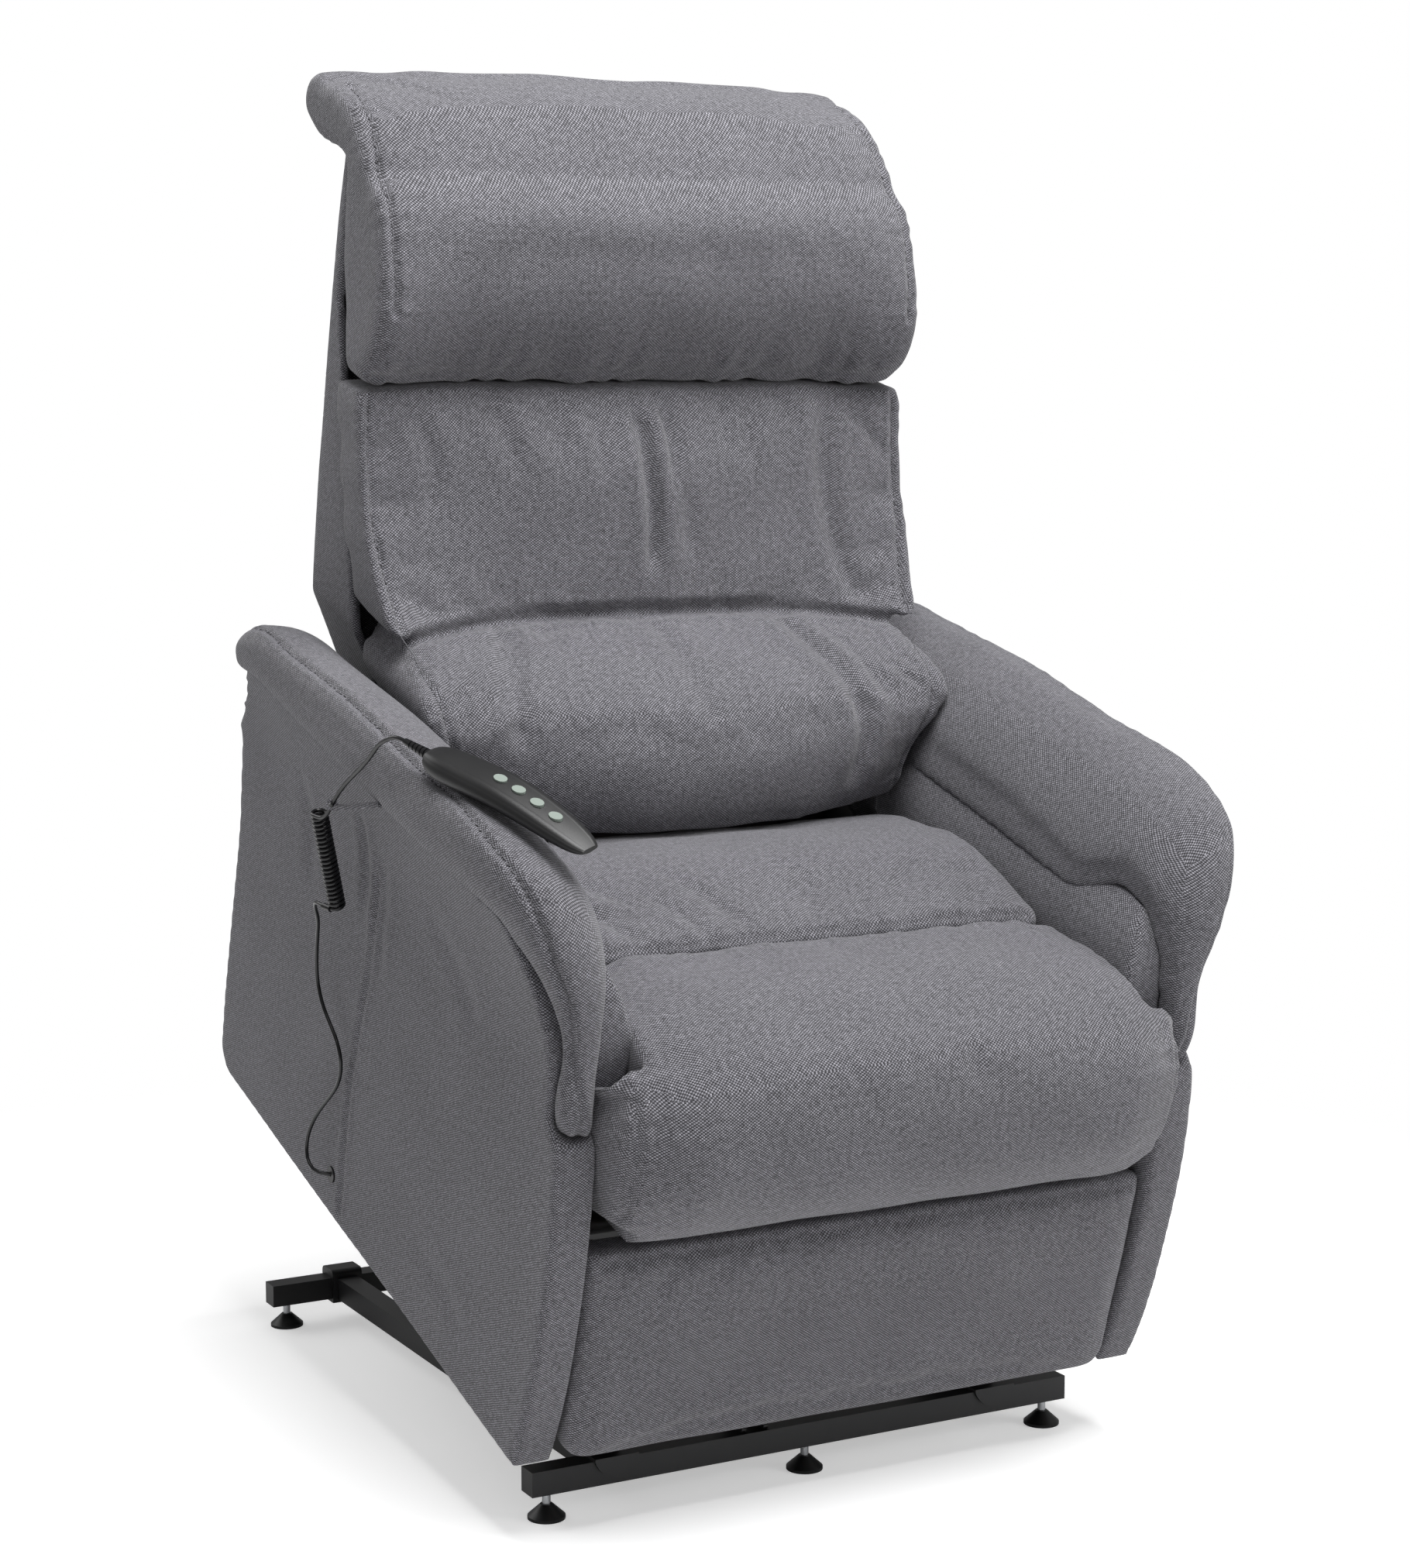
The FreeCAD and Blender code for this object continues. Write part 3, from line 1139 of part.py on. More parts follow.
def handset():
    body = handset_body()
    keys = handset_key_places(body)
    place = seat_unit.multiply(handset_place())
    for x, z in keys:
        body = body.cut(key_shape(x, z, size("button_gap"), size("button_travel") + size("button_gap")))
    node(solid("handset_casing", body), "handset_casing", place)
    for number, (x, z) in enumerate(keys, start=1):
        node(solid(f"handset_button_{number}", key_shape(x, z, 0, 0)), f"handset_button_{number}", place)
    node(solid("handset_strain_relief", strain_relief()), "handset_strain_relief", place)


def strain_relief():
    """Ribbed boot at the cord end: a cone with grooves."""
    long = size("boot_length")
    boot = Part.makeCone(5.6, 3.1, long - 1, Vector(0, 0, -2), Vector(-1, 0, 0))
    for number in range(5):
        ring = Part.makeCylinder(7, 1.4, Vector(-6 - 5 * number, 0, -2), Vector(-1, 0, 0))
        core = Part.makeCylinder(4.1 - 0.32 * number, 1.4, Vector(-6 - 5 * number, 0, -2), Vector(-1, 0, 0))
        boot = boot.cut(ring.cut(core))
    return boot


def handset_key_places(body):
    """Where the four keys stand on the arched top: distance from the cord end and height."""
    places = []
    for number in range(4):
        x = size("button_first") + number * size("button_pitch")
        inside = body.common(Part.makeLine(Vector(x, 0, -60), Vector(x, 0, 60)))
        places.append((x, inside.BoundBox.ZMax))
    return places


def key_shape(x, z, grow, deeper):
    long, wide = size("button_half_length") + grow, size("button_half_width") + grow
    rise, tall = size("button_rise"), size("button_height")
    ring = Part.Ellipse(Vector(x, 0, z + rise), long, wide).toShape()
    key = Part.Face(Part.Wire([ring])).extrude(Vector(0, 0, -tall - deeper))
    return key


def cord_path(points):
    """Straight runs joined by tangent arcs, as large as the shorter run beside each bend allows."""
    places = [Vector(*point) for point in points]
    edges = []
    radii = []
    start = places[0]
    for before, corner, after in zip(places, places[1:], places[2:]):
        back = (before - corner).normalize()
        ahead = (after - corner).normalize()
        half_turn = (math.pi - back.getAngle(ahead)) / 2
        run = 0.45 * min((corner - before).Length, (after - corner).Length)
        radius = run / math.tan(half_turn)
        middle = (back + ahead).normalize()
        centre = corner + middle * (radius / math.cos(half_turn))
        first, last = corner + back * run, corner + ahead * run
        edges.append(Part.makeLine(start, first))
        edges.append(Part.Arc(first, centre - middle * radius, last).toShape())
        radii.append(round(radius, 1))
        start = last
    edges.append(Part.makeLine(start, places[-1]))
    return Part.Wire(edges), radii


def cord_tube(name, points):
    """A cord's free stretch; its volume must be its section times its length."""
    path, radii = cord_path(points)
    radius = size("cord_radius")
    start, ahead = Vector(*points[0]), Vector(*points[1]) - Vector(*points[0])
    ring = Part.Wire([Part.Circle(start, ahead, radius).toShape()])
    tube = path.makePipeShell([ring], True, False)
    share = tube.Volume / (math.pi * radius ** 2 * path.Length)
    print(f"{name}: length {path.Length:.1f}, least radius {min(radii)}, radii {radii}, volume share {share:.5f}")
    node(solid(name, tube), name)


# Points of the cord, on the base: along the lip of the arm from the handset to the coil
UPPER_CORD = [(-403.5, 64.0, 733.0), (-404.5, 80.0, 727.0), (-404.0, 98.0, 715.0), (-403.5, 120.0, 703.0),
              (-403.0, 143.0, 692.0), (-403.5, 166.0, 680.0), (-404.5, 186.0, 666.0), (-405.5, 203.0, 649.0)]
# From the foot of the coil round to the grommet in the side
LOWER_CORD = [(-385.5, 292.0, 549.0), (-380.0, 308.0, 541.0), (-372.0, 319.0, 526.0), (-366.0, 338.0, 506.0),
              (-362.0, 352.0, 482.0), (-360.0, 357.0, 457.0), (-358.0, 349.0, 433.0), (-356.0, 332.0, 415.0),
              (-355.0, 315.0, 399.0), (-354.0, 309.0, 378.0), (-353.0, 320.0, 358.0), (-353.0, 340.0, 342.0),
              (-354.0, 361.0, 327.0), (-356.0, 382.0, 309.0), (-359.0, 396.0, 286.0), (-361.0, 392.0, 262.0)]
COIL_TOP = Vector(-404.0, 231.0, 646.0)
COIL_FOOT = Vector(-374.0, 264.0, 548.0)
COIL_ENTRY = Vector(-0.297, 0.927, 0.223)


def coil_frame():
    """The coil's axis, the way the cord is heading where it joins the coil, and the way outwards."""
    axis = (COIL_FOOT - COIL_TOP).normalize()
    heads = (COIL_ENTRY - axis * COIL_ENTRY.dot(axis)).normalize()
    outwards = heads.cross(axis).normalize()
    return axis, heads, outwards


def coil_point(turn):
    """Centre of the cord and its direction after a number of turns."""
    axis, heads, outwards = coil_frame()
    radius, pitch = size("coil_radius"), size("coil_pitch")
    angle = 2 * math.pi * turn
    point = COIL_TOP + axis * (pitch * turn)
    point += outwards * (radius * math.cos(angle)) + heads * (radius * math.sin(angle))
    along = heads * math.cos(angle) - outwards * math.sin(angle)
    along = (along * (2 * math.pi * radius) + axis * pitch).normalize()
    return point, along


def arc_leaving(start, along, end):
    """The arc from the start to the end that leaves in the given direction."""
    chord = end - start
    unit = Vector(chord).normalize()
    half_turn = along.getAngle(unit)
    side = (along - unit * along.dot(unit)).normalize()
    crest = start + chord * 0.5 + side * (chord.Length / 2 * math.tan(half_turn / 2))
    return Part.Arc(start, crest, end), chord.Length / 2 / math.sin(half_turn)


def biarc(start, along, end, arriving):
    """Two tangent arcs between two points with given directions, and the smaller radius."""
    span = end - start
    both = along + arriving
    spread = 2 * (1 - along.dot(arriving))
    reach = (-span.dot(both) + math.sqrt(span.dot(both) ** 2 + spread * span.dot(span))) / spread
    joint = (start + along * reach + end - arriving * reach) * 0.5
    first, one = arc_leaving(start, along, joint)
    second, two = arc_leaving(end, -arriving, joint)
    middle = second.value((second.FirstParameter + second.LastParameter) / 2)
    return [first, Part.Arc(joint, middle, end)], min(one, two)


def coil_ends():
    """Where the free stretches of the cord meet the coil's straight ends, and their directions."""
    lead = 2 * size("cord_radius")
    top, along = coil_point(0)
    foot, leaving = coil_point(size("coil_turns"))
    return top - along * lead, along, foot + leaving * lead, leaving


def cord_coil():
    """The curls: one tube on two arcs to each quarter turn, with a straight end of one diameter."""
    quarters = int(4 * size("coil_turns"))
    start, along, end, leaving = coil_ends()
    places = [coil_point(number / 4) for number in range(quarters + 1)]
    edges = [Part.makeLine(start, places[0][0])]
    least = 1000.0
    for (one, ahead), (two, arriving) in zip(places, places[1:]):
        arcs, radius = biarc(one, ahead, two, arriving)
        edges += [arc.toShape() for arc in arcs]
        least = min(least, radius)
    edges.append(Part.makeLine(places[-1][0], end))
    path = Part.Wire(edges)
    radius = size("cord_radius")
    ring = Part.Wire([Part.Circle(start, along, radius).toShape()])
    tube = path.makePipeShell([ring], True, False)
    gap = coil_gap(places, radius)
    share = tube.Volume / (math.pi * radius ** 2 * path.Length)
    print(f"cord_coil: length {path.Length:.0f}, least radius {least:.2f}, gap between curls {gap:.2f},"
          f" volume share {share:.4f}")
    node(solid("cord_coil", tube), "cord_coil")


def coil_gap(places, radius):
    """Least gap of the coil to itself, on points a quarter turn apart and a full turn on."""
    least = 1000.0
    for first, (point, _) in enumerate(places):
        for other, _ in places[first + 3:first + 6]:
            least = min(least, (other - point).Length - 2 * radius)
    return least


def cords():
    start, along, end, leaving = coil_ends()
    place = seat_unit.multiply(handset_place())
    boot_end = place.multVec(Vector(1 - size("boot_length"), 0, -2))
    boot_way = place.Rotation.multVec(Vector(-1, 0, 0))
    upper = [boot_end, boot_end + boot_way * 13, *[Vector(*point) for point in UPPER_CORD],
             start - along * 14, start]
    cord_tube("cord_upper", upper)
    cord_coil()
    entry = Vector(-size("side_half_width") + GROMMET_DEPTH, *in_row(*GROMMET))
    lower = [end, end + leaving * 14, *[Vector(*point) for point in LOWER_CORD],
             entry - Vector(25, 0, 0), entry]
    cord_tube("cord_lower", lower)


def cord_grommet():
    """A bush in the side where the cord goes in."""
    x = -size("side_half_width")
    radius = size("grommet_radius")
    bush = drum(radius, GROMMET_DEPTH, x, *GROMMET).fuse(drum(radius + 2.5, 1.6, x - 1.6, *GROMMET))
    bush = bush.cut(drum(size("cord_radius") + 0.2, GROMMET_DEPTH + 4, x - 2, *GROMMET))
    node(solid("cord_grommet", bush), "cord_grommet", seat_unit)


def cord_loop():
    """A rolled fabric tab sewn under the lip of the left arm; the cord drops through its ring."""
    start, stop = Vector(*LOOP_START), Vector(*LOOP_END)
    way = stop - start
    roll = Part.makeCylinder(size("loop_roll_radius"), way.Length, start, way)
    roll = roll.fuse(Part.makeSphere(size("loop_roll_radius"), start))
    ring_way = Vector(*LOOP_RING_WAY)
    ring = Part.makeTorus(size("loop_ring_radius"), size("loop_ring_wire"), Vector(*LOOP_RING), ring_way)
    node(solid("cord_loop", roll.fuse(ring)), "cord_loop", seat_unit)


base_tubes()
base_rails()
base_end_plugs()
levelling_feet()
base_brackets()
rear_clamps()
lift_motor_bracket()
lift_arms()
steady_links()
mech_plates()
cross_tubes()
seat_rails()
seat_webbing()
sides()
rear_panel()
seat_cushion()
seat_front_pad()
back_cushion()
head_pillow()
back_cover()
back_uprights()
back_rails()
lift_actuator()
back_actuator()
power_supply()
footrest_links()
footrest_panel()
handset()
cords()
cord_grommet()
cord_loop()

doc.recompute()
faults = [item.Name for item in doc.Objects if {"Invalid", "Error"} & set(item.State)]
if faults:
    raise RuntimeError(f"failed features: {faults}")
unsound = [item.Label for item in nodes
           if item.Shape.isNull() or not item.Shape.isValid() or not item.Shape.Solids]
if unsound:
    raise RuntimeError(f"no valid solid: {unsound}")
for item in nodes:
    item.Shape.exportStep(f"parts/{item.Label}.step")
print(len(nodes), "sub-parts written")
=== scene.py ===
import math

import bmesh
import bpy
import numpy as np
from mathutils import Matrix, Vector
from mathutils.bvhtree import BVHTree
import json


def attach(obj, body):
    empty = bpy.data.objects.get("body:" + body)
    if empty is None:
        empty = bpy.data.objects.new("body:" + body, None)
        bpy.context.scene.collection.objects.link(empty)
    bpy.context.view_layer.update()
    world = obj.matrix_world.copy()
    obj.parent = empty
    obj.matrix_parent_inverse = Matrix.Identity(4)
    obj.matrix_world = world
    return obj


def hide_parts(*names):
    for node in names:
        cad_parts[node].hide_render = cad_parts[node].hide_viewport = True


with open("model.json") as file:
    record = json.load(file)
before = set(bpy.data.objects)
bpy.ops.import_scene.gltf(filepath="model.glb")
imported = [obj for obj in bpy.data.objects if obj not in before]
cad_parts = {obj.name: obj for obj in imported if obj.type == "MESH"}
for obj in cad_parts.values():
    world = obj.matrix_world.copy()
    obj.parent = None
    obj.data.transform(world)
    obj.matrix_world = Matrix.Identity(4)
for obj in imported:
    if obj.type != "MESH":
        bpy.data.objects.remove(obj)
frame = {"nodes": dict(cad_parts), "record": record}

# A grey upholstered lift recliner chair on a black steel base, with a wired handset on its arm.
# Metres throughout. The seat unit leans back, so its pieces are laid out in the chair's own frame:
# x across, the second axis towards the back, the third up the back.
nodes = frame["nodes"]
scene = bpy.context.scene
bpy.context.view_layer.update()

chair = {"place": (0.0, -0.059, 0.079), "tilt": 16.3}
chairAxes = np.array(Matrix.Rotation(math.radians(chair["tilt"]), 3, "X"))
chairPlace = np.array(chair["place"])


def toRow(points):
    return np.asarray(points, float) @ chairAxes.T + chairPlace


def toChair(points):
    return (np.asarray(points, float) - chairPlace) @ chairAxes


# Camera, matched to the photograph

cameraValues = {
    "place": (-1.4916, -2.5555, 1.0724),
    "tilt": 82.34,
    "turn": -28.39,
    "lens": 72.2,
    "sensor": 36.0,
}


def addCamera(values):
    data = bpy.data.cameras.new("camera")
    data.sensor_fit = "VERTICAL"
    data.sensor_height = values["sensor"]
    data.lens = values["lens"]
    camera = bpy.data.objects.new("camera", data)
    camera.location = values["place"]
    camera.rotation_euler = (math.radians(values["tilt"]), 0, math.radians(values["turn"]))
    scene.collection.objects.link(camera)
    scene.camera = camera


addCamera(cameraValues)
scene.view_settings.view_transform = "Standard"
print("camera placed")


# Materials


def linear(shade):
    # sRGB hex to the linear values that Blender works in
    channels = [int(shade[start:start + 2], 16) / 255 for start in (1, 3, 5)]
    return tuple(c / 12.92 if c <= 0.04045 else ((c + 0.055) / 1.055) ** 2.4 for c in channels) + (1.0,)


def addNode(tree, kind, settings=None, inputs=None):
    # A node with its settings; an input is given as a value or as the socket that feeds it
    made = tree.nodes.new(kind)
    for name, value in (settings or {}).items():
        setattr(made, name, value)
    for name, value in (inputs or {}).items():
        if isinstance(value, bpy.types.NodeSocket):
            tree.links.new(value, made.inputs[name])
        else:
            made.inputs[name].default_value = value
    return made


def calc(tree, operation, first, second=0.0):
    return addNode(tree, "ShaderNodeMath", {"operation": operation}, {0: first, 1: second}).outputs[0]


def newMaterial(name, finish):
    # finish holds constants for the shader's own sockets
    material = bpy.data.materials.new(name)
    material.use_nodes = True
    tree = material.node_tree
    shader = tree.nodes["Principled BSDF"]
    for socket, value in finish.items():
        shader.inputs[socket].default_value = value
    return material, tree, shader


weaveValues = {
    "across": 0.0018,       # one warp thread, as coarse as the photo shows it
    "up": 0.00125,          # one weft thread
    "warp": "#353438",      # dark threads, in the gaps of which the weft stands as light dashes
    "weft": "#85848a",
    "wobble": 0.9,          # how far threads stray, in threads
    "stray": 90.0,          # how often they stray, in noise cells per metre
    "dome": 2.5,            # angle that a crossing's dome spans, in radians
    "melange": 1.15,        # spread of the fibres' tones within a thread
    "fibreStep": 3.7,       # noise cells from one thread to the next
    "fibreRun": 0.45,       # noise cells per crossing along a thread
    "blot": 190.0,          # small clusters of light and dark fibres, in noise cells per metre
    "blotSpread": 1.45,
    "patch": 11.0,          # broad, faint unevenness of the dye, in noise cells per metre
    "patchSpread": 0.20,
    # painted shade in the gaps between the thread domes, with the dome tops a little lighter
    "gapHeights": (0.1, 0.9),
    "gapPaintedShade": (0.55, 1.08),
    "weftRise": 0.25,       # how far the weft stands over the warp, in domes
    "relief": 0.45,
    "depth": 0.0006,
}


def toneOf(tree, noise, spread):
    # Noise about 0.5 becomes a tone about zero
    return calc(tree, "MULTIPLY", calc(tree, "SUBTRACT", noise, 0.5), spread)


def melangeWeave(values):
    # Coarse plain weave of light weft and dark warp with mixed fibres: dull, with a slight bloom at the edges
    material, tree, shader = newMaterial("grey melange upholstery fabric", {
        "Roughness": 0.92,
        "Sheen Weight": 0.18,
        "Sheen Roughness": 0.55,
        "Specular IOR Level": 0.15,
    })
    place = addNode(tree, "ShaderNodeUVMap", {"uv_map": "weave"}).outputs[0]
    stray = addNode(tree, "ShaderNodeTexNoise", {"noise_dimensions": "2D"},
                    {"Vector": place, "Scale": values["stray"], "Detail": 1.0}).outputs["Color"]
    stray = addNode(tree, "ShaderNodeVectorMath", {"operation": "SCALE"},
                    {0: stray, "Scale": values["wobble"]}).outputs[0]
    threads = addNode(tree, "ShaderNodeVectorMath", {"operation": "MULTIPLY"},
                      {0: place, 1: (1 / values["across"], 1 / values["up"], 1)}).outputs[0]
    threads = addNode(tree, "ShaderNodeVectorMath", {"operation": "ADD"}, {0: threads, 1: stray}).outputs[0]
    split = addNode(tree, "ShaderNodeSeparateXYZ", {}, {0: threads})
    u, v = split.outputs[0], split.outputs[1]
    cellU, cellV = calc(tree, "FLOOR", u), calc(tree, "FLOOR", v)
    over = calc(tree, "FLOORED_MODULO", calc(tree, "ADD", cellU, cellV), 2.0)
    # Each crossing is a low dome, cos across by cos along
    domes = [calc(tree, "COSINE", toneOf(tree, calc(tree, "FRACT", way), values["dome"])) for way in (u, v)]
    height = calc(tree, "MULTIPLY", domes[0], domes[1])
    # The fibres' tone changes slowly along a thread and at once across it
    fibres = []
    for cell, along, seed in ((cellU, v, 3.0), (cellV, u, 11.0)):
        where = addNode(tree, "ShaderNodeCombineXYZ", {}, {
            0: calc(tree, "MULTIPLY", cell, values["fibreStep"]),
            1: calc(tree, "MULTIPLY", along, values["fibreRun"]), 2: seed}).outputs[0]
        tone = addNode(tree, "ShaderNodeTexNoise", {}, {
            "Vector": where, "Scale": 1.0, "Detail": 1.0}).outputs[0]
        fibres.append(toneOf(tree, tone, values["melange"]))
    patch = addNode(tree, "ShaderNodeTexNoise", {"noise_dimensions": "2D"},
                    {"Vector": place, "Scale": values["patch"], "Detail": 3.0}).outputs[0]
    blot = addNode(tree, "ShaderNodeTexNoise", {"noise_dimensions": "2D"},
                   {"Vector": place, "Scale": values["blot"], "Detail": 3.0, "Roughness": 0.7}).outputs[0]
    mottle = calc(tree, "ADD", toneOf(tree, patch, values["patchSpread"]),
                  toneOf(tree, blot, values["blotSpread"]))
    colours = []
    for shade, fibre in ((values["warp"], fibres[0]), (values["weft"], fibres[1])):
        strength = calc(tree, "ADD", calc(tree, "ADD", fibre, mottle), 1.0)
        colours.append(addNode(tree, "ShaderNodeVectorMath", {"operation": "SCALE"},
                               {0: linear(shade)[:3], "Scale": strength}).outputs[0])
    blend = addNode(tree, "ShaderNodeMix", {"data_type": "VECTOR"},
                    {0: over, 4: colours[0], 5: colours[1]}).outputs[1]
    # Painted shade: the gaps between the domes are darker, and the dome tops a little lighter
    low, high = values["gapHeights"]
    dark, bright = values["gapPaintedShade"]
    gaps = addNode(tree, "ShaderNodeMapRange", {},
                   {0: height, 1: low, 2: high, 3: dark, 4: bright}).outputs[0]
    shade = addNode(tree, "ShaderNodeVectorMath", {"operation": "SCALE"},
                    {0: blend, "Scale": gaps}).outputs[0]
    tree.links.new(shade, shader.inputs["Base Color"])
    bump = addNode(tree, "ShaderNodeBump", {}, {
        "Height": calc(tree, "ADD", height, calc(tree, "MULTIPLY", over, values["weftRise"])),
        "Strength": values["relief"], "Distance": values["depth"]})
    tree.links.new(bump.outputs[0], shader.inputs["Normal"])
    return material


def grainyMaterial(name, shade, finish, scale, depth, strength=0.3, mottle=0.0, stretch=(1, 1, 1)):
    # One colour with a fine grain in relief and a faint mottle, on Object coordinates
    material, tree, shader = newMaterial(name, finish)
    place = addNode(tree, "ShaderNodeTexCoord").outputs["Object"]
    place = addNode(tree, "ShaderNodeMapping", {}, {"Vector": place, "Scale": stretch}).outputs[0]
    grain = addNode(tree, "ShaderNodeTexNoise", {}, {"Vector": place, "Scale": scale, "Detail": 3.0})
    bump = addNode(tree, "ShaderNodeBump", {}, {
        "Height": grain.outputs[0], "Strength": strength, "Distance": depth})
    tree.links.new(bump.outputs[0], shader.inputs["Normal"])
    spread = addNode(tree, "ShaderNodeMapRange", {}, {0: grain.outputs[0], 3: 1 - mottle, 4: 1 + mottle})
    tint = addNode(tree, "ShaderNodeVectorMath", {"operation": "SCALE"},
                   {0: linear(shade)[:3], "Scale": spread.outputs[0]})
    tree.links.new(tint.outputs[0], shader.inputs["Base Color"])
    return material


# By slot: name, colour, finish, the grain's scale and depth, then its strength, mottle and stretch
slotValues = {
    # Powder coat: a dull black with the fine orange peel that blurs reflections
    "black_steel": ("black powder coated steel", "#111113", {"Roughness": 0.46}, 900, 0.0002, 0.35),
    # Zinc plated studs and the motors' rods: bright with brushed streaks
    "bright_steel": ("bright zinc plated steel", "#b9bbbe", {"Roughness": 0.27, "Metallic": 1.0},
                     500, 0.0001, 0.2, 0.08, (1, 1, 6)),
    # Moulded housings with a spark-eroded grain
    "black_plastic": ("black moulded plastic", "#0f0f10", {"Roughness": 0.43}, 1400, 0.00015, 0.3),
    "key_rubber": ("pale grey green key rubber", "#7f8982", {"Roughness": 0.55}, 1500, 0.0001, 0.2, 0.03),
    # Smooth flexible jacket with a wet-looking shine
    "cord_rubber": ("glossy black cord jacket", "#0e0e10", {"Roughness": 0.24}, 300, 0.0001, 0.1),
    "timber": ("birch plywood", "#b8936a", {"Roughness": 0.62}, 60, 0.0004, 0.3, 0.16, (1, 9, 9)),
    "webbing": ("elastic webbing", "#8d8471", {"Roughness": 0.85}, 800, 0.0004, 0.5, 0.2, (1, 3, 1)),
}
fabric = melangeWeave(weaveValues)
materialOfSlot = {"grey_weave": fabric}
for slot, values in slotValues.items():
    materialOfSlot[slot] = grainyMaterial(*values)
thread = grainyMaterial("grey sewing thread", "#5d5c60", {"Roughness": 0.7}, 2500, 0.0001, 0.4, 0.2)


def giveMaterial(piece, material):
    piece.data.materials.clear()
    piece.data.materials.append(material)


slotOf = {part["node"]: part["material_slot"]
          for part in frame["record"]["subparts"] if part["node"] in nodes}
for name, slot in slotOf.items():
    node = nodes[name]
    for used in node.material_slots:
        used.material = materialOfSlot[slot]
    if not node.material_slots:
        node.data.materials.append(materialOfSlot[slot])
    if slot in ("cord_rubber", "key_rubber"):
        node.data.shade_smooth()
print("materials made")


# The handset's cord: down from the handset, through the coil, and round to the grommet in the side

cordValues = {
    "radius": 0.002,
    "length": 1.62,
    "bootEnd": (-0.3960, 0.0370, 0.7342),
    "bootWay": (-0.35, 0.88, 0.32),
    "bootLead": 0.013,
    "coilTop": (-0.404, 0.231, 0.646),
    "coilFoot": (-0.374, 0.264, 0.548),
    "coilEntry": (-0.297, 0.927, 0.223),
    "coilRadius": 0.007,
    "coilPitch": 0.0049,
    "coilTurns": 22,
    "pointsPerTurn": 14,
    "joinWay": (-0.26, 0.96, 0.12),
    "join": 0.014,
    "grommet": (-0.331, 0.36864, 0.25198),
    "grommetLead": 0.025,
    "sleeve": (0.001, 0.007, 0.013),
    "sleeveRadius": 0.0033,
}
upperRoute = [(-0.4035, 0.064, 0.733), (-0.4045, 0.080, 0.727), (-0.404, 0.098, 0.715),
              (-0.4035, 0.120, 0.703), (-0.403, 0.143, 0.692), (-0.4035, 0.166, 0.680),
              (-0.4045, 0.186, 0.666), (-0.4055, 0.203, 0.649)]
lowerRoute = [(-0.3855, 0.292, 0.549), (-0.380, 0.308, 0.541), (-0.372, 0.319, 0.526), (-0.366, 0.338, 0.506),
              (-0.362, 0.352, 0.482), (-0.360, 0.357, 0.457), (-0.358, 0.349, 0.433), (-0.356, 0.332, 0.415),
              (-0.355, 0.315, 0.399), (-0.354, 0.309, 0.378), (-0.353, 0.320, 0.358), (-0.353, 0.340, 0.342),
              (-0.354, 0.361, 0.327), (-0.356, 0.382, 0.309), (-0.359, 0.396, 0.286), (-0.361, 0.392, 0.262)]


def unit(vector):
    return np.asarray(vector, float) / np.linalg.norm(vector)


def coilPoints(values):
    # Helix about the line from coilTop to coilFoot, after t turns:
    # top + axis pitch t + radius (outwards cos 2 pi t + heads sin 2 pi t)
    top, foot = np.array(values["coilTop"]), np.array(values["coilFoot"])
    axis = unit(foot - top)
    entry = np.array(values["coilEntry"])
    heads = unit(entry - axis * (entry @ axis))
    outwards = unit(np.cross(heads, axis))
    turns = np.arange(values["coilTurns"] * values["pointsPerTurn"] + 1) / values["pointsPerTurn"]
    angle = 2 * np.pi * turns[:, None]
    ring = outwards * np.cos(angle) + heads * np.sin(angle)
    return top + axis * values["coilPitch"] * turns[:, None] + values["coilRadius"] * ring


def cordPoints(values):
    bootEnd, joinWay = np.array(values["bootEnd"]), unit(values["joinWay"])
    coil = coilPoints(values)
    grommet = np.array(values["grommet"])
    return np.vstack([
        [bootEnd, bootEnd + values["bootLead"] * unit(values["bootWay"])], upperRoute,
        [coil[0] - values["join"] * joinWay], coil, [coil[-1] + values["join"] * joinWay],
        lowerRoute, [grommet - (values["grommetLead"], 0, 0), grommet],
    ])


def tubeCurve(name, lines, radius, material, kind="POLY", sides=4):
    # Round tubes along one or several lines of points
    data = bpy.data.curves.new(name, "CURVE")
    data.dimensions = "3D"
    data.bevel_depth = radius
    data.bevel_resolution = sides
    data.use_fill_caps = True
    for line in lines:
        spline = data.splines.new(kind)
        spline.points.add(len(line) - 1)
        places = np.column_stack([line, np.ones(len(line))])
        spline.points.foreach_set("co", places.ravel())
        if kind == "NURBS":
            spline.order_u = 3
            spline.use_endpoint_u = True
            spline.resolution_u = 3
        spline.use_smooth = True
    piece = bpy.data.objects.new(name, data)
    scene.collection.objects.link(piece)
    giveMaterial(piece, material)
    return piece


handsetCord = tubeCurve("handsetCord", [cordPoints(cordValues)], cordValues["radius"],
                        materialOfSlot["cord_rubber"], "NURBS", 5)
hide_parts("cord_upper", "cord_coil", "cord_lower")
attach(handsetCord, "seat_unit")

# A short sleeve is shrunk over the cord where it leaves the coil
coilEnd = coilPoints(cordValues)[-1]
sleeveLine = np.array([coilEnd + step * unit(cordValues["joinWay"]) for step in cordValues["sleeve"]])
coilSleeve = tubeCurve("coilSleeve", [sleeveLine], cordValues["sleeveRadius"],
                       materialOfSlot["cord_rubber"], "POLY", 6)
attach(coilSleeve, "seat_unit")
print("cord laid")


# Soft pieces


def addPiece(name, mesh):
    piece = bpy.data.objects.new(name, mesh)
    scene.collection.objects.link(piece)
    return piece


def applied(piece):
    # The mesh that the modifiers make becomes the piece's own
    graph = bpy.context.evaluated_depsgraph_get()
    mesh = bpy.data.meshes.new_from_object(piece.evaluated_get(graph))
    piece.modifiers.clear()
    piece.data = mesh


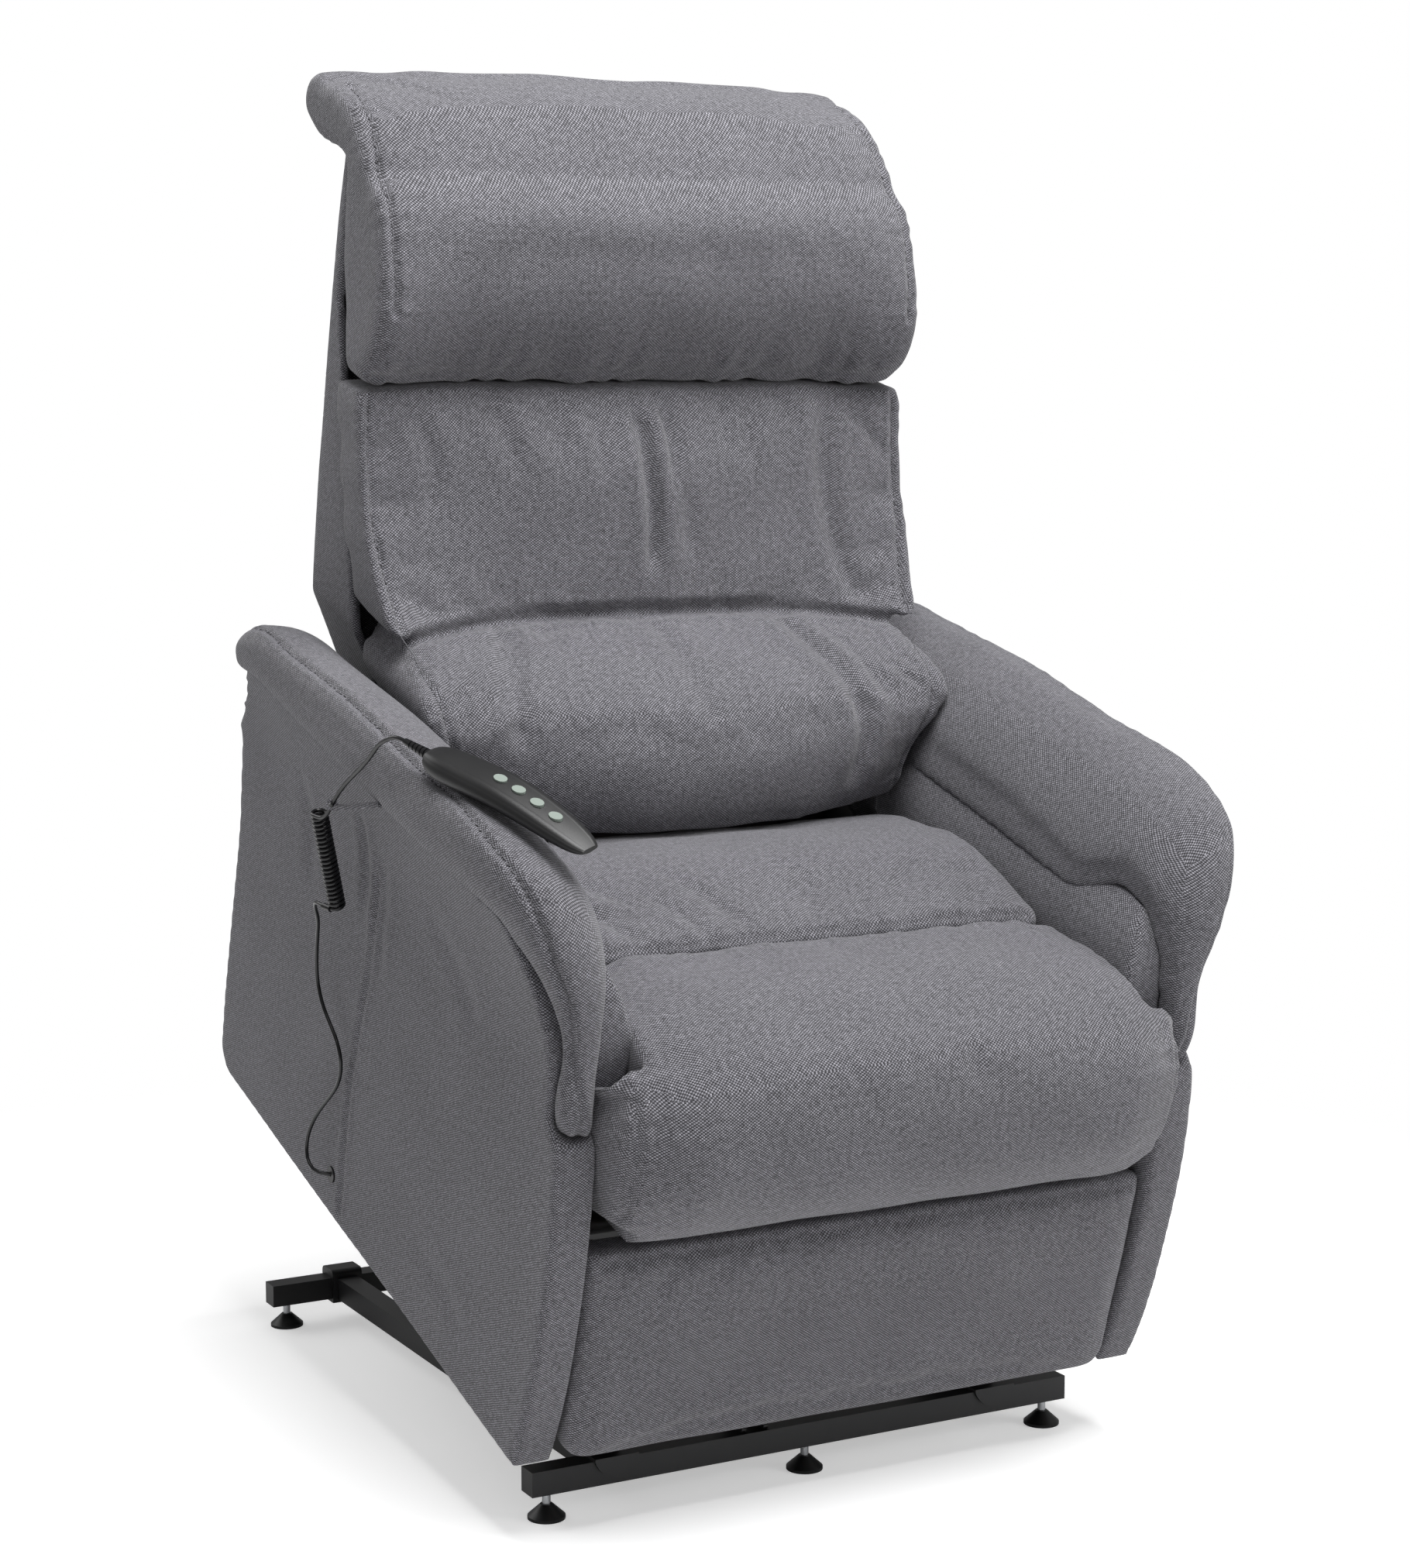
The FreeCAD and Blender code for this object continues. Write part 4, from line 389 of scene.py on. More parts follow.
def softCopy(name, node, voxel):
    # The solid's outline, merged and remade as an even net of quads
    mesh = nodes[node].data.copy()
    net = bmesh.new()
    net.from_mesh(mesh)
    bmesh.ops.remove_doubles(net, verts=net.verts, dist=1e-5)
    net.to_mesh(mesh)
    net.free()
    piece = addPiece(name, mesh)
    remesh = piece.modifiers.new("net", "REMESH")
    remesh.mode = "VOXEL"
    remesh.voxel_size = voxel
    applied(piece)
    return piece


def verticesOf(piece):
    places = np.empty(len(piece.data.vertices) * 3)
    piece.data.vertices.foreach_get("co", places)
    return places.reshape(-1, 3)


def normalsOf(piece):
    ways = np.empty(len(piece.data.vertices) * 3)
    piece.data.vertices.foreach_get("normal", ways)
    return ways.reshape(-1, 3)


def moveTo(piece, places):
    piece.data.vertices.foreach_set("co", np.asarray(places).ravel())
    piece.data.update()


def relaxed(piece, rounds):
    smooth = piece.modifiers.new("even", "SMOOTH")
    smooth.factor = 0.5
    smooth.iterations = rounds
    applied(piece)


def subdivided(piece):
    finer = piece.modifiers.new("finer", "SUBSURF")
    finer.levels = finer.render_levels = 1
    applied(piece)


# Each padded piece: the solid it stands for, its body, the net's width, how far it may puff out, the cover's
# slack, and the planes where it is sewn or stapled down, as (axis of the chair's frame, level, reach).
# A plane of the first axis counts on both sides of the middle. lean is explained at weaveMap.
pieceValues = {
    "backCushion": {
        "node": "back_cushion", "body": "backrest", "voxel": 0.006, "puff": 0.006, "slack": 0.03,
        "seams": [(2, 0.600, 0.006), (2, 0.813, 0.009), (2, 0.426, 0.008), (0, 0.300, 0.012)]},
    "headPillow": {
        "node": "head_pillow", "body": "backrest", "voxel": 0.006, "puff": 0.007, "slack": 0.015,
        "seams": [(2, 0.813, 0.008), (0, 0.303, 0.010)], "rounds": 8, "lean": 2.2},
    "seatCushion": {
        "node": "seat_cushion", "body": "seat_unit", "voxel": 0.006, "puff": 0.006, "slack": 0.03,
        "seams": [(1, 0.162, 0.006), (0, 0.262, 0.008), (2, 0.305, 0.030)]},
    "frontPad": {
        "node": "seat_front_pad", "body": "seat_unit", "voxel": 0.006, "puff": 0.006, "slack": 0.03,
        "seams": [(1, 0.160, 0.008), (0, 0.303, 0.010), (2, 0.236, 0.008)]},
    "armPadLeft": {
        "node": "arm_pad_left", "body": "seat_unit", "voxel": 0.005, "puff": 0.003, "slack": 0.01,
        "seams": []},
    "armPadRight": {
        "node": "arm_pad_right", "body": "seat_unit", "voxel": 0.005, "puff": 0.003, "slack": 0.01,
        "seams": []},
    "footrestPad": {
        "node": "footrest_pad", "body": "footrest_panel", "voxel": 0.006, "puff": 0.004, "slack": 0.02,
        "seams": [(1, 0.015, 0.012), (2, 0.222, 0.006)]},
}
puffValues = {
    "pressure": 4.0,
    "frames": 20,
    "quality": 5,
    "start": 0.002,
    "mass": 0.3,
    "bending": 0.6,
    "tension": 18.0,
    "sink": 0.4,            # how far the cover may sink in, as a share of how far it may puff out
}


def sewnDown(piece, seams):
    # True where the cover is held: within reach of a seam plane, on either side of the middle
    places = toChair(verticesOf(piece))
    held = np.zeros(len(places), bool)
    for axis, level, reach in seams:
        along = np.abs(places[:, axis]) if axis == 0 else places[:, axis]
        held |= np.abs(along - level) < reach
    return held


def addPressure(piece, held, slack, values):
    # A slack cover, set back a little from the foam, is blown up between its seams
    moveTo(piece, verticesOf(piece) - values["start"] * normalsOf(piece) * (1.0 - held)[:, None])
    group = piece.vertex_groups.new(name="sewn")
    group.add(np.flatnonzero(held).tolist(), 1.0, "REPLACE")
    cloth = piece.modifiers.new("cover", "CLOTH")
    cloth.settings.quality = values["quality"]
    cloth.settings.mass = values["mass"]
    cloth.settings.tension_stiffness = cloth.settings.compression_stiffness = values["tension"]
    cloth.settings.bending_stiffness = values["bending"]
    cloth.settings.use_pressure = True
    cloth.settings.uniform_pressure_force = values["pressure"]
    cloth.settings.shrink_min = -slack
    cloth.settings.effector_weights.gravity = 0.0
    if held.any():
        cloth.settings.vertex_group_mass = "sewn"
    cloth.collision_settings.use_collision = False
    cloth.point_cache.frame_start = 1
    cloth.point_cache.frame_end = values["frames"]


softPieces = {}
restingPlaces = {}
restingWays = {}
for name, values in pieceValues.items():
    piece = softCopy(name, values["node"], values["voxel"])
    relaxed(piece, 3)
    softPieces[name] = piece
    restingPlaces[name] = verticesOf(piece)
    restingWays[name] = normalsOf(piece)
    addPressure(piece, sewnDown(piece, values["seams"]), values["slack"], puffValues)
print("covers cut")

scene.frame_end = puffValues["frames"]
for step in range(1, puffValues["frames"] + 1):
    scene.frame_set(step)
for name, piece in softPieces.items():
    applied(piece)
    piece.vertex_groups.clear()
    # The cover stands off the foam by p tanh(lift / p), so never by more than its puff p,
    # and sinks in by less than half of that
    lift = ((verticesOf(piece) - restingPlaces[name]) * restingWays[name]).sum(1)
    puff = pieceValues[name]["puff"]
    most = np.where(lift > 0, puff, puffValues["sink"] * puff)
    moveTo(piece, restingPlaces[name] + restingWays[name] * (most * np.tanh(lift / most))[:, None])
scene.frame_set(1)
print("covers puffed")

flatValues = {
    "sideLeft": {"node": "side_panel_left", "body": "seat_unit", "voxel": 0.005},
    "sideRight": {"node": "side_panel_right", "body": "seat_unit", "voxel": 0.005},
    "backCover": {"node": "back_cover", "body": "backrest", "voxel": 0.005},
    "rearPanel": {"node": "rear_panel", "body": "seat_unit", "voxel": 0.005},
    "cordLoop": {"node": "cord_loop", "body": "seat_unit", "voxel": 0.0009, "rounds": 2},
}
for name, piece in softPieces.items():
    relaxed(piece, pieceValues[name].get("rounds", 2))
    subdivided(piece)
for name, values in flatValues.items():
    softPieces[name] = softCopy(name, values["node"], values["voxel"])
    relaxed(softPieces[name], values.get("rounds", 4))
print("panels covered")


# The covers follow the photograph closer than the foam: full flanks, a level seat, tight arm insides


def eased(value, start, end):
    t = np.clip((value - start) / (end - start), 0, 1)
    return t * t * (3 - 2 * t)


def reshaped(piece, change, values):
    # change takes and gives places on the chair's own axes, as three rows
    moveTo(piece, toRow(np.column_stack(change(*toChair(verticesOf(piece)).T, values))))


flankValues = {
    "half": 0.302,
    "forward": 0.046,
    "lowForward": 0.022,
    "band": (0.47, 0.61),           # heights over which the flanks come forward
    "lowBand": (0.60, 0.78),        # and over which they come forward less
    "wider": 0.011,
    "wideBand": (0.57, 0.68),
    "waist": 0.004,
    "waistHeight": 0.515,
    "waistReach": 0.045,
    "rearFoot": (0.573, 0.426),     # foot of the cushion's rear face, (towards the back, up)
    "rearSlope": 0.405,
    "rearSkin": 0.001,
    "rearFade": 0.010,
}
pillowValues = {
    "drop": 0.020,
    "top": (0.98, 1.08),
    "cornerOut": 0.005,
    "cornerForward": 0.020,
    "cornerAcross": (0.20, 0.30),
    "cornerHeights": (0.84, 0.97),
}
seatValues = {
    "fill": 0.016,
    "seam": 0.162,
    "reach": 0.045,
    "top": (0.36, 0.40),
    "flank": (0.20, 0.262),
    "flankLess": 0.5,
}
rollValues = {
    "out": 0.003,
    "back": 0.018,
    "down": 0.009,
    "across": (0.215, 0.300),
    "front": (-0.03, 0.01),
    "heights": (0.245, 0.300),
}
wingValues = {
    "back": 0.062,
    "across": (0.264, 0.270),
    "begin": (-0.040, -0.020),
    "end": (0.000, 0.020),
    "heights": (0.355, 0.392),
}
insideValues = {
    "inwards": 0.017,
    "down": 0.024,
    "heights": (0.470, 0.560),
    "across": (0.300, 0.345),
    "begin": (0.08, 0.16),
}


def fullFlanks(x, y, z, values):
    # The flanks stand forward by forward (|x| / half)^4 beside the middle cushion, but its rear face stays;
    # the waist is less drawn in
    share = np.abs(x) / values["half"]
    band = eased(z, *values["band"])
    footY, footZ = values["rearFoot"]
    rear = footY + (z - footZ) * values["rearSlope"]
    front = np.clip((rear - y - values["rearSkin"]) / values["rearFade"], 0, 1)
    forward = values["forward"] + values["lowForward"] * (1 - eased(z, *values["lowBand"]))
    waist = values["waist"] * np.exp(-((z - values["waistHeight"]) / values["waistReach"]) ** 2)
    x = x + np.sign(x) * share ** 2 * (values["wider"] * eased(z, *values["wideBand"]) + waist)
    return x, y - forward * share ** 4 * band * front, z


def lowPillow(x, y, z, values):
    # The pillow's top lies a little lower than the foam, and its lower corners are full
    corner = eased(np.abs(x), *values["cornerAcross"]) * (1 - eased(z, *values["cornerHeights"]))
    x = x + np.sign(x) * values["cornerOut"] * corner
    y = y - values["cornerForward"] * corner
    return x, y, z - values["drop"] * eased(z, *values["top"])


def levelSeat(x, y, z, values):
    # The dip at the cross seam is filled by fill exp(-((y - seam) / reach)^2), less towards the sides
    top = eased(z, *values["top"])
    flank = 1 - values["flankLess"] * eased(np.abs(x), *values["flank"])
    fill = values["fill"] * np.exp(-((y - values["seam"]) / values["reach"]) ** 2) * top * flank
    return x, y, z + fill


def fullEnds(x, y, z, values):
    # The front roll curves back at its ends and presses against the arms
    end = eased(np.abs(x), *values["across"]) * eased(-y, *values["front"])
    low = 1 - eased(z, *values["heights"])
    return x + np.sign(x) * values["out"] * end, y + values["back"] * end, z - values["down"] * end * low


def fullWings(x, y, z, values):
    # Below the arm rolls its wings reach back to the fronts of the sides
    wing = eased(np.abs(x), *values["across"]) * eased(y, *values["begin"]) * (1 - eased(y, *values["end"]))
    return x, y + values["back"] * wing * (1 - eased(z, *values["heights"])), z


def tightInside(x, y, z, values):
    # The pad's inner edge is tucked in behind the top of the arm's inner roll
    low = (1 - eased(z, *values["heights"])) * (1 - eased(np.abs(x), *values["across"]))
    low = low * eased(y, *values["begin"])
    return x - np.sign(x) * values["inwards"] * low, y, z - values["down"] * low


reshapes = [
    ("backCushion", fullFlanks, flankValues),
    ("headPillow", lowPillow, pillowValues),
    ("seatCushion", levelSeat, seatValues),
    ("frontPad", levelSeat, seatValues),
    ("frontPad", fullEnds, rollValues),
    ("frontPad", fullWings, wingValues),
    ("armPadLeft", tightInside, insideValues),
    ("armPadRight", tightInside, insideValues),
]
for name, change, values in reshapes:
    reshaped(softPieces[name], change, values)

# Seams, tucks and creases, pressed into the covers along lines on their surface


def treeOf(piece):
    return BVHTree.FromObject(piece, bpy.context.evaluated_depsgraph_get())


def castLine(piece, starts, ways):
    # Points of the chair's frame, each carried its own way until it meets the piece
    tree = treeOf(piece)
    rays = zip(toRow(starts), np.asarray(ways, float) @ chairAxes.T)
    hits = [tree.ray_cast(Vector(start), Vector(unit(way)))[0] for start, way in rays]
    return np.array([hit for hit in hits if hit is not None])


# Where lines are cast from: axis of the chair's frame, place on it, and direction along it
views = {
    "front": (1, 0.30, 1),
    "pillow": (1, 0.40, 1),
    "roll": (1, -0.30, 1),
    "footrest": (1, -0.20, 1),
    "top": (2, 0.60, -1),
    "Left": (0, -0.60, 1),
    "Right": (0, 0.60, -1),
}


def surfaceLine(piece, flat, view):
    # A line drawn on the chair's two other axes, cast along the view's axis
    axis, start, way = views[view]
    columns = [flat[:, 0], flat[:, 1]]
    columns.insert(axis, np.full(len(flat), start))
    heading = np.zeros((len(flat), 3))
    heading[:, axis] = way
    return castLine(piece, np.column_stack(columns), heading)


def smoothLine(points, count):
    # A curve through a few chosen points, in cubic Hermite pieces
    points = np.asarray(points, float)
    slopes = np.gradient(points, axis=0)
    t = np.linspace(0, len(points) - 1, count)
    at = np.clip(t.astype(int), 0, len(points) - 2)
    s = (t - at)[:, None]
    return ((2 * s ** 3 - 3 * s ** 2 + 1) * points[at] + (s ** 3 - 2 * s ** 2 + s) * slopes[at]
            + (3 * s ** 2 - 2 * s ** 3) * points[at + 1] + (s ** 3 - s ** 2) * slopes[at + 1])


def nearLine(places, line):
    # Distance of each place from a line of points, and how far along the line it lies
    gap = np.full(len(places), 9.0)
    along = np.zeros(len(places))
    run = 0.0
    for start, end in zip(line[:-1], line[1:]):
        way = end - start
        length = np.linalg.norm(way)
        if length < 1e-9:
            continue
        t = np.clip((places - start) @ way / length ** 2, 0, 1)
        reach = np.linalg.norm(places - start - t[:, None] * way, axis=1)
        closer = reach < gap
        gap[closer] = reach[closer]
        along[closer] = run + t[closer] * length
        run += length
    return gap, along, run


def pressed(piece, line, depth, width, lip=0.0, gather=0.0, wave=0.03, reach=0.04, fade=0.0):
    # Groove -depth exp(-(d/w)^2), a raised lip beside it, and gathers: ripples along the line that die out
    # over reach. fade lets both ends of the line run out.
    places, ways = verticesOf(piece), normalsOf(piece)
    gap, along, run = nearLine(places, line)
    ends = np.clip(np.minimum(along, run - along) / fade, 0, 1) if fade else np.ones(len(gap))
    ends = ends * ends * (3 - 2 * ends)
    phase = 2 * np.pi * along / wave
    ripple = (np.sin(phase + 2 * np.sin(phase * 0.31)) + 0.6 * np.sin(phase * 0.53 + 1.7)) / 1.6
    shape = (-depth * np.exp(-(gap / width) ** 2) + lip * np.exp(-((gap - 2.2 * width) / width) ** 2)
             + gather * ripple * np.exp(-gap / reach) * (1 - np.exp(-(gap / width) ** 2)))
    moveTo(piece, places + ways * (shape * ends)[:, None])


def folded(piece, view, values):
    # Creases: each is given as a few points of the view, with its depth and width
    for points, depth, width in values["folds"]:
        line = surfaceLine(piece, smoothLine(points, values["count"]), view)
        pressed(piece, line, values["deeper"] * depth, values["broader"] * width,
                lip=values["lip"] * depth, fade=values["fade"])


stitchValues = {
    "length": 0.0055,
    "gap": 0.0030,
    "radius": 0.00055,
    "lift": 0.0002,
    "arch": 0.6,            # height of a stitch, in thread radii, times the heights of its profile
    "profile": [(0.0, -1.6), (0.2, 0.4), (0.5, 1.0), (0.8, 0.4), (1.0, -1.6)],
}


def stitched(name, piece, line, body, values=stitchValues):
    # A row of thread stitches that lie in the cover along a line, their ends drawn in
    tree = treeOf(piece)
    steps = np.linalg.norm(np.diff(line, axis=0), axis=1)
    run = np.concatenate([[0], np.cumsum(steps)])
    pace = values["length"] + values["gap"]
    rows = []
    for start in np.arange(pace, run[-1] - pace, pace):
        stitch = []
        for share, height in values["profile"]:
            at = start + share * values["length"]
            spot = Vector([np.interp(at, run, line[:, axis]) for axis in range(3)])
            place, normal = tree.find_nearest(spot)[:2]
            stitch.append(place + normal * (values["lift"] + height * values["radius"] * values["arch"]))
        rows.append(np.array(stitch))
    stitching = tubeCurve(name, rows, values["radius"], thread, "POLY", 1)
    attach(stitching, body)


def uneven(piece, height, scale, seed):
    # Broad, low unevenness of the filling: a sum of slow waves over the chair's axes
    places, ways = verticesOf(piece), normalsOf(piece)
    x, y, z = (toChair(places) / scale).T
    swell = (np.sin(2.1 * x + 1.3 * np.sin(1.7 * z + seed) + seed)
             * np.sin(1.9 * z + 1.1 * np.sin(1.3 * x - seed))
             + 0.5 * np.sin(3.7 * x - 2.9 * z + 2.3 * seed + 1.5 * y))
    moveTo(piece, places + ways * (height * swell / 1.5)[:, None])


# Height and breadth of each piece's unevenness, and where its waves start
unevenValues = {
    "backCushion": (0.0012, 0.06, 2.0),
    "headPillow": (0.0018, 0.085, 0.7),
    "seatCushion": (0.0014, 0.07, 4.0),
    "frontPad": (0.0012, 0.08, 5.0),
    "footrestPad": (0.0010, 0.09, 6.0),
    "armPadLeft": (0.0008, 0.05, 7.0),
    "armPadRight": (0.0008, 0.05, 9.0),
    "sideLeft": (0.0011, 0.11, 8.0),
    "sideRight": (0.0011, 0.11, 10.0),
    "backCover": (0.0010, 0.10, 12.0),
}
for name, values in unevenValues.items():
    uneven(softPieces[name], *values)

# Cross seams: the lumbar seam, the pillow's lower seam, where the front roll is sewn to the seat, and a
# drawn-in line along the footrest's top edge. half and level place them; bow (x / bowHalf)^2 lowers them.
crossSeams = {
    "backCushion": {
        "view": "front", "half": 0.292, "level": 0.602, "bow": 0.012,
        "press": {"depth": 0.0055, "width": 0.006, "lip": 0.0015, "gather": 0.0018, "wave": 0.055,
                  "reach": 0.03}},
    "headPillow": {
        "view": "pillow", "half": 0.296, "level": 0.826, "bow": 0.0,
        "press": {"depth": 0.0030, "width": 0.010, "gather": 0.0036, "wave": 0.042, "reach": 0.035}},
    "seatCushion": {
        "view": "top", "half": 0.255, "level": 0.168, "bow": 0.0,
        "press": {"depth": 0.0025, "width": 0.006, "gather": 0.0012, "wave": 0.05, "reach": 0.03}},
    "frontPad": {
        "view": "top", "half": 0.255, "level": 0.152, "bow": 0.0,
        "press": {"depth": 0.0025, "width": 0.006, "gather": 0.0012, "wave": 0.047, "reach": 0.03}},
    "footrestPad": {
        "view": "footrest", "half": 0.285, "level": 0.214, "bow": 0.0,
        "press": {"depth": 0.0020, "width": 0.006, "gather": 0.0014, "wave": 0.06, "reach": 0.03}},
}
crossValues = {"count": 41, "bowHalf": 0.29}
for name, values in crossSeams.items():
    x = np.linspace(-values["half"], values["half"], crossValues["count"])
    level = values["level"] - values["bow"] * (x / crossValues["bowHalf"]) ** 2
    seam = surfaceLine(softPieces[name], np.column_stack([x, level]), values["view"])
    pressed(softPieces[name], seam, **values["press"])
print("cross seams sewn")

# Middle cushion and lumbar roll: creases, then a sewn edge down each side
backFolds = {
    "count": 16,
    "deeper": 1.7,
    "broader": 1.25,
    "lip": 0.6,
    "fade": 0.035,
    "folds": [
        ([(-0.004, 0.800), (-0.001, 0.745), (0.004, 0.690), (0.001, 0.630)], 0.0050, 0.0065),
        ([(0.024, 0.805), (0.030, 0.760), (0.027, 0.720)], 0.0028, 0.0060),
        ([(0.052, 0.640), (0.046, 0.680), (0.050, 0.730)], 0.0022, 0.0070),
        ([(-0.060, 0.800), (-0.052, 0.755), (-0.054, 0.720)], 0.0022, 0.0070),
        ([(0.130, 0.806), (0.122, 0.765), (0.126, 0.730)], 0.0020, 0.0080),
        ([(-0.170, 0.806), (-0.150, 0.760), (-0.146, 0.725)], 0.0024, 0.0080),
        ([(0.225, 0.806), (0.215, 0.740), (0.226, 0.660), (0.250, 0.600)], 0.0030, 0.0085),
        ([(-0.255, 0.800), (-0.235, 0.745), (-0.240, 0.690)], 0.0024, 0.0080),
        ([(0.150, 0.596), (0.182, 0.560), (0.190, 0.510), (0.176, 0.450)], 0.0045, 0.0085),
        ([(-0.165, 0.596), (-0.196, 0.560), (-0.204, 0.505)], 0.0030, 0.0085),
        ([(0.000, 0.596), (0.004, 0.560), (0.000, 0.525)], 0.0018, 0.0080),
    ],
}
backEdge = {
    "rise": (0.445, 0.806),
    "count": 40,
    "heights": [0.426, 0.475, 0.520, 0.600, 0.680, 0.813],
    "halves": [0.244, 0.250, 0.271, 0.290, 0.302, 0.302],
    "press": {"depth": 0.0030, "width": 0.0032, "lip": 0.0008, "gather": 0.0010, "wave": 0.034,
              "reach": 0.02},
}
back = softPieces["backCushion"]
folded(back, "front", backFolds)
for side, name in ((-1, "Left"), (1, "Right")):
    rise = np.linspace(*backEdge["rise"], backEdge["count"])
    half = np.interp(rise, backEdge["heights"], backEdge["halves"])
    edge = surfaceLine(back, np.column_stack([side * half, rise]), "front")
    pressed(back, edge, **backEdge["press"])
    stitched("backEdgeStitch" + name, back, edge, "backrest")

# Head pillow: the same sewn edge at its sides, cast towards the middle of its round section
pillowEdge = {
    "middle": (0.800, 0.960),
    "distance": 0.30,
    "turn": (-0.35, 1.75),
    "count": 46,
    "turns": [-0.35, 0.0, 0.6, 1.75],
    "halves": [0.292, 0.292, 0.290, 0.282],
    "press": {"depth": 0.0030, "width": 0.0034, "lip": 0.0008, "gather": 0.0016, "wave": 0.030,
              "reach": 0.02},
}
pillow = softPieces["headPillow"]
for side, name in ((-1, "Left"), (1, "Right")):
    turn = np.linspace(*pillowEdge["turn"], pillowEdge["count"])
    half = np.interp(turn, pillowEdge["turns"], pillowEdge["halves"])
    middleY, middleZ = pillowEdge["middle"]
    start = np.column_stack([side * half, middleY - pillowEdge["distance"] * np.cos(turn),
                             middleZ + pillowEdge["distance"] * np.sin(turn)])
    edge = castLine(pillow, start, np.column_stack([np.zeros(len(turn)), np.cos(turn), -np.sin(turn)]))
    pressed(pillow, edge, **pillowEdge["press"])
    stitched("pillowEdgeStitch" + name, pillow, edge, "backrest")
print("back sewn")

# Seat: shallow sitting folds, and a drawn-in line down each cheek of the front roll
seatFolds = {
    "count": 14,
    "deeper": 1.0,
    "broader": 1.0,
    "lip": 0.4,
    "fade": 0.03,
    "folds": [
        ([(-0.225, 0.400), (-0.185, 0.360), (-0.150, 0.345)], 0.0024, 0.009),
        ([(0.228, 0.410), (0.190, 0.375), (0.160, 0.362)], 0.0024, 0.009),
        ([(-0.240, 0.230), (-0.200, 0.215), (-0.165, 0.214)], 0.0018, 0.008),
        ([(0.242, 0.250), (0.205, 0.232), (0.168, 0.236)], 0.0018, 0.008),
    ],
}
cheekValues = {
    "drop": (0.270, 0.385),
    "count": 26,
    "half": 0.287,
    "press": {"depth": 0.0030, "width": 0.0045, "lip": 0.0008, "gather": 0.0016, "wave": 0.028,
              "reach": 0.03},
}
folded(softPieces["seatCushion"], "top", seatFolds)
for side in (-1, 1):
    drop = np.linspace(*cheekValues["drop"], cheekValues["count"])
    half = np.full(len(drop), side * cheekValues["half"])
    cheek = surfaceLine(softPieces["frontPad"], np.column_stack([half, drop]), "roll")
    pressed(softPieces["frontPad"], cheek, **cheekValues["press"])
print("seat sewn")

# Arms: a sewn welt just inside the outer edge, over the top and down the front
weltValues = {
    "bend": (0.110, 0.440),         # centre of the pad's front bend, (towards the back, up)
    # Turn over the bend in degrees, drop below its centre, and distance of the welt from the middle
    "front": [(90, 0.118, 0.316), (90, 0.085, 0.322), (90, 0.036, 0.331), (78, 0.0, 0.341),
              (60, 0.0, 0.354), (45, 0.0, 0.363), (22, 0.0, 0.376), (0, 0.0, 0.384)],
    "run": (0.04, 0.585),           # along the top, behind the bend
    "runCount": 14,
    "half": 0.385,
    "taperFrom": 0.50,
    "taper": 0.05,
    "count": 120,
    "distance": 0.25,
    "press": {"depth": 0.0026, "width": 0.0030, "lip": 0.0010, "gather": 0.0008, "wave": 0.045,
              "reach": 0.015},
}


def weltRays(side, values):
    # Starts and ways of the rays that find the welt: above the pad's rounded top, pointing at it
    stations = [(turn, drop, 0.0, x) for turn, drop, x in values["front"]]
    for run in np.linspace(*values["run"], values["runCount"]):
        stations.append((0, 0.0, run, values["half"] - max(0.0, run - values["taperFrom"]) * values["taper"]))
    turn, drop, run, x = smoothLine(stations, values["count"]).T
    turn = np.radians(turn)
    outwards = np.column_stack([np.zeros(len(turn)), -np.sin(turn), np.cos(turn)])
    bendY, bendZ = values["bend"]
    base = np.column_stack([side * x, bendY + run, bendZ - drop])
    return base + values["distance"] * outwards, -outwards


for side, name in ((-1, "Left"), (1, "Right")):
    pad = softPieces["armPad" + name]
    welt = castLine(pad, *weltRays(side, weltValues))
    pressed(pad, welt, **weltValues["press"])
    stitched("armWeltStitch" + name, pad, welt, "seat_unit")

# Sides: a slit seam down each panel, slack folds below the lip
slitValues = {
    "line": [(0.430, 0.018), (0.437, 0.141), (0.432, 0.202), (0.422, 0.300), (0.415, 0.400)],
    "count": 50,
    "press": {"depth": 0.0030, "width": 0.0042, "lip": 0.0012, "gather": 0.0012, "wave": 0.060,
              "reach": 0.03},
}
sideFolds = {
    "count": 18,
    "deeper": 1.0,
    "broader": 1.0,
    "lip": 0.4,
    "fade": 0.04,
    "folds": [
        ([(0.452, 0.470), (0.446, 0.400), (0.450, 0.330)], 0.0030, 0.009),
        ([(0.396, 0.440), (0.402, 0.360), (0.398, 0.290)], 0.0022, 0.010),
        ([(0.300, 0.420), (0.230, 0.400), (0.160, 0.350)], 0.0016, 0.014),
        ([(0.640, 0.430), (0.600, 0.380), (0.585, 0.300)], 0.0018, 0.013),
        ([(0.120, 0.060), (0.190, 0.085), (0.270, 0.080)], 0.0014, 0.012),
    ],
}
for name in ("Left", "Right"):
    panel = softPieces["side" + name]
    slit = surfaceLine(panel, smoothLine(slitValues["line"], slitValues["count"]), name)
    pressed(panel, slit, **slitValues["press"])
    folded(panel, name, sideFolds)
print("sides sewn")


def weaveMap(piece, lean=1.0):
    # The weave lies along the chair's axes: each face takes the two axes that it turns to least.
    # lean keeps the front's weave running further over a rounded top.
    mesh = piece.data
    corners = np.empty(len(mesh.loops), np.int32)
    mesh.loops.foreach_get("vertex_index", corners)
    counts = np.empty(len(mesh.polygons), np.int32)
    mesh.polygons.foreach_get("loop_total", counts)
    ways = np.empty(len(mesh.polygons) * 3)
    mesh.polygons.foreach_get("normal", ways)
    facing = (np.abs(ways.reshape(-1, 3) @ chairAxes) * (1.0, lean, 1.0)).argmax(1)
    facing = np.repeat(facing, counts)
    places = toChair(verticesOf(piece))[corners]
    first = np.where(facing == 0, places[:, 1], places[:, 0])
    second = np.where(facing == 2, places[:, 1], places[:, 2])
    layer = mesh.uv_layers.new(name="weave")
    layer.data.foreach_set("uv", np.column_stack([first, second]).ravel())
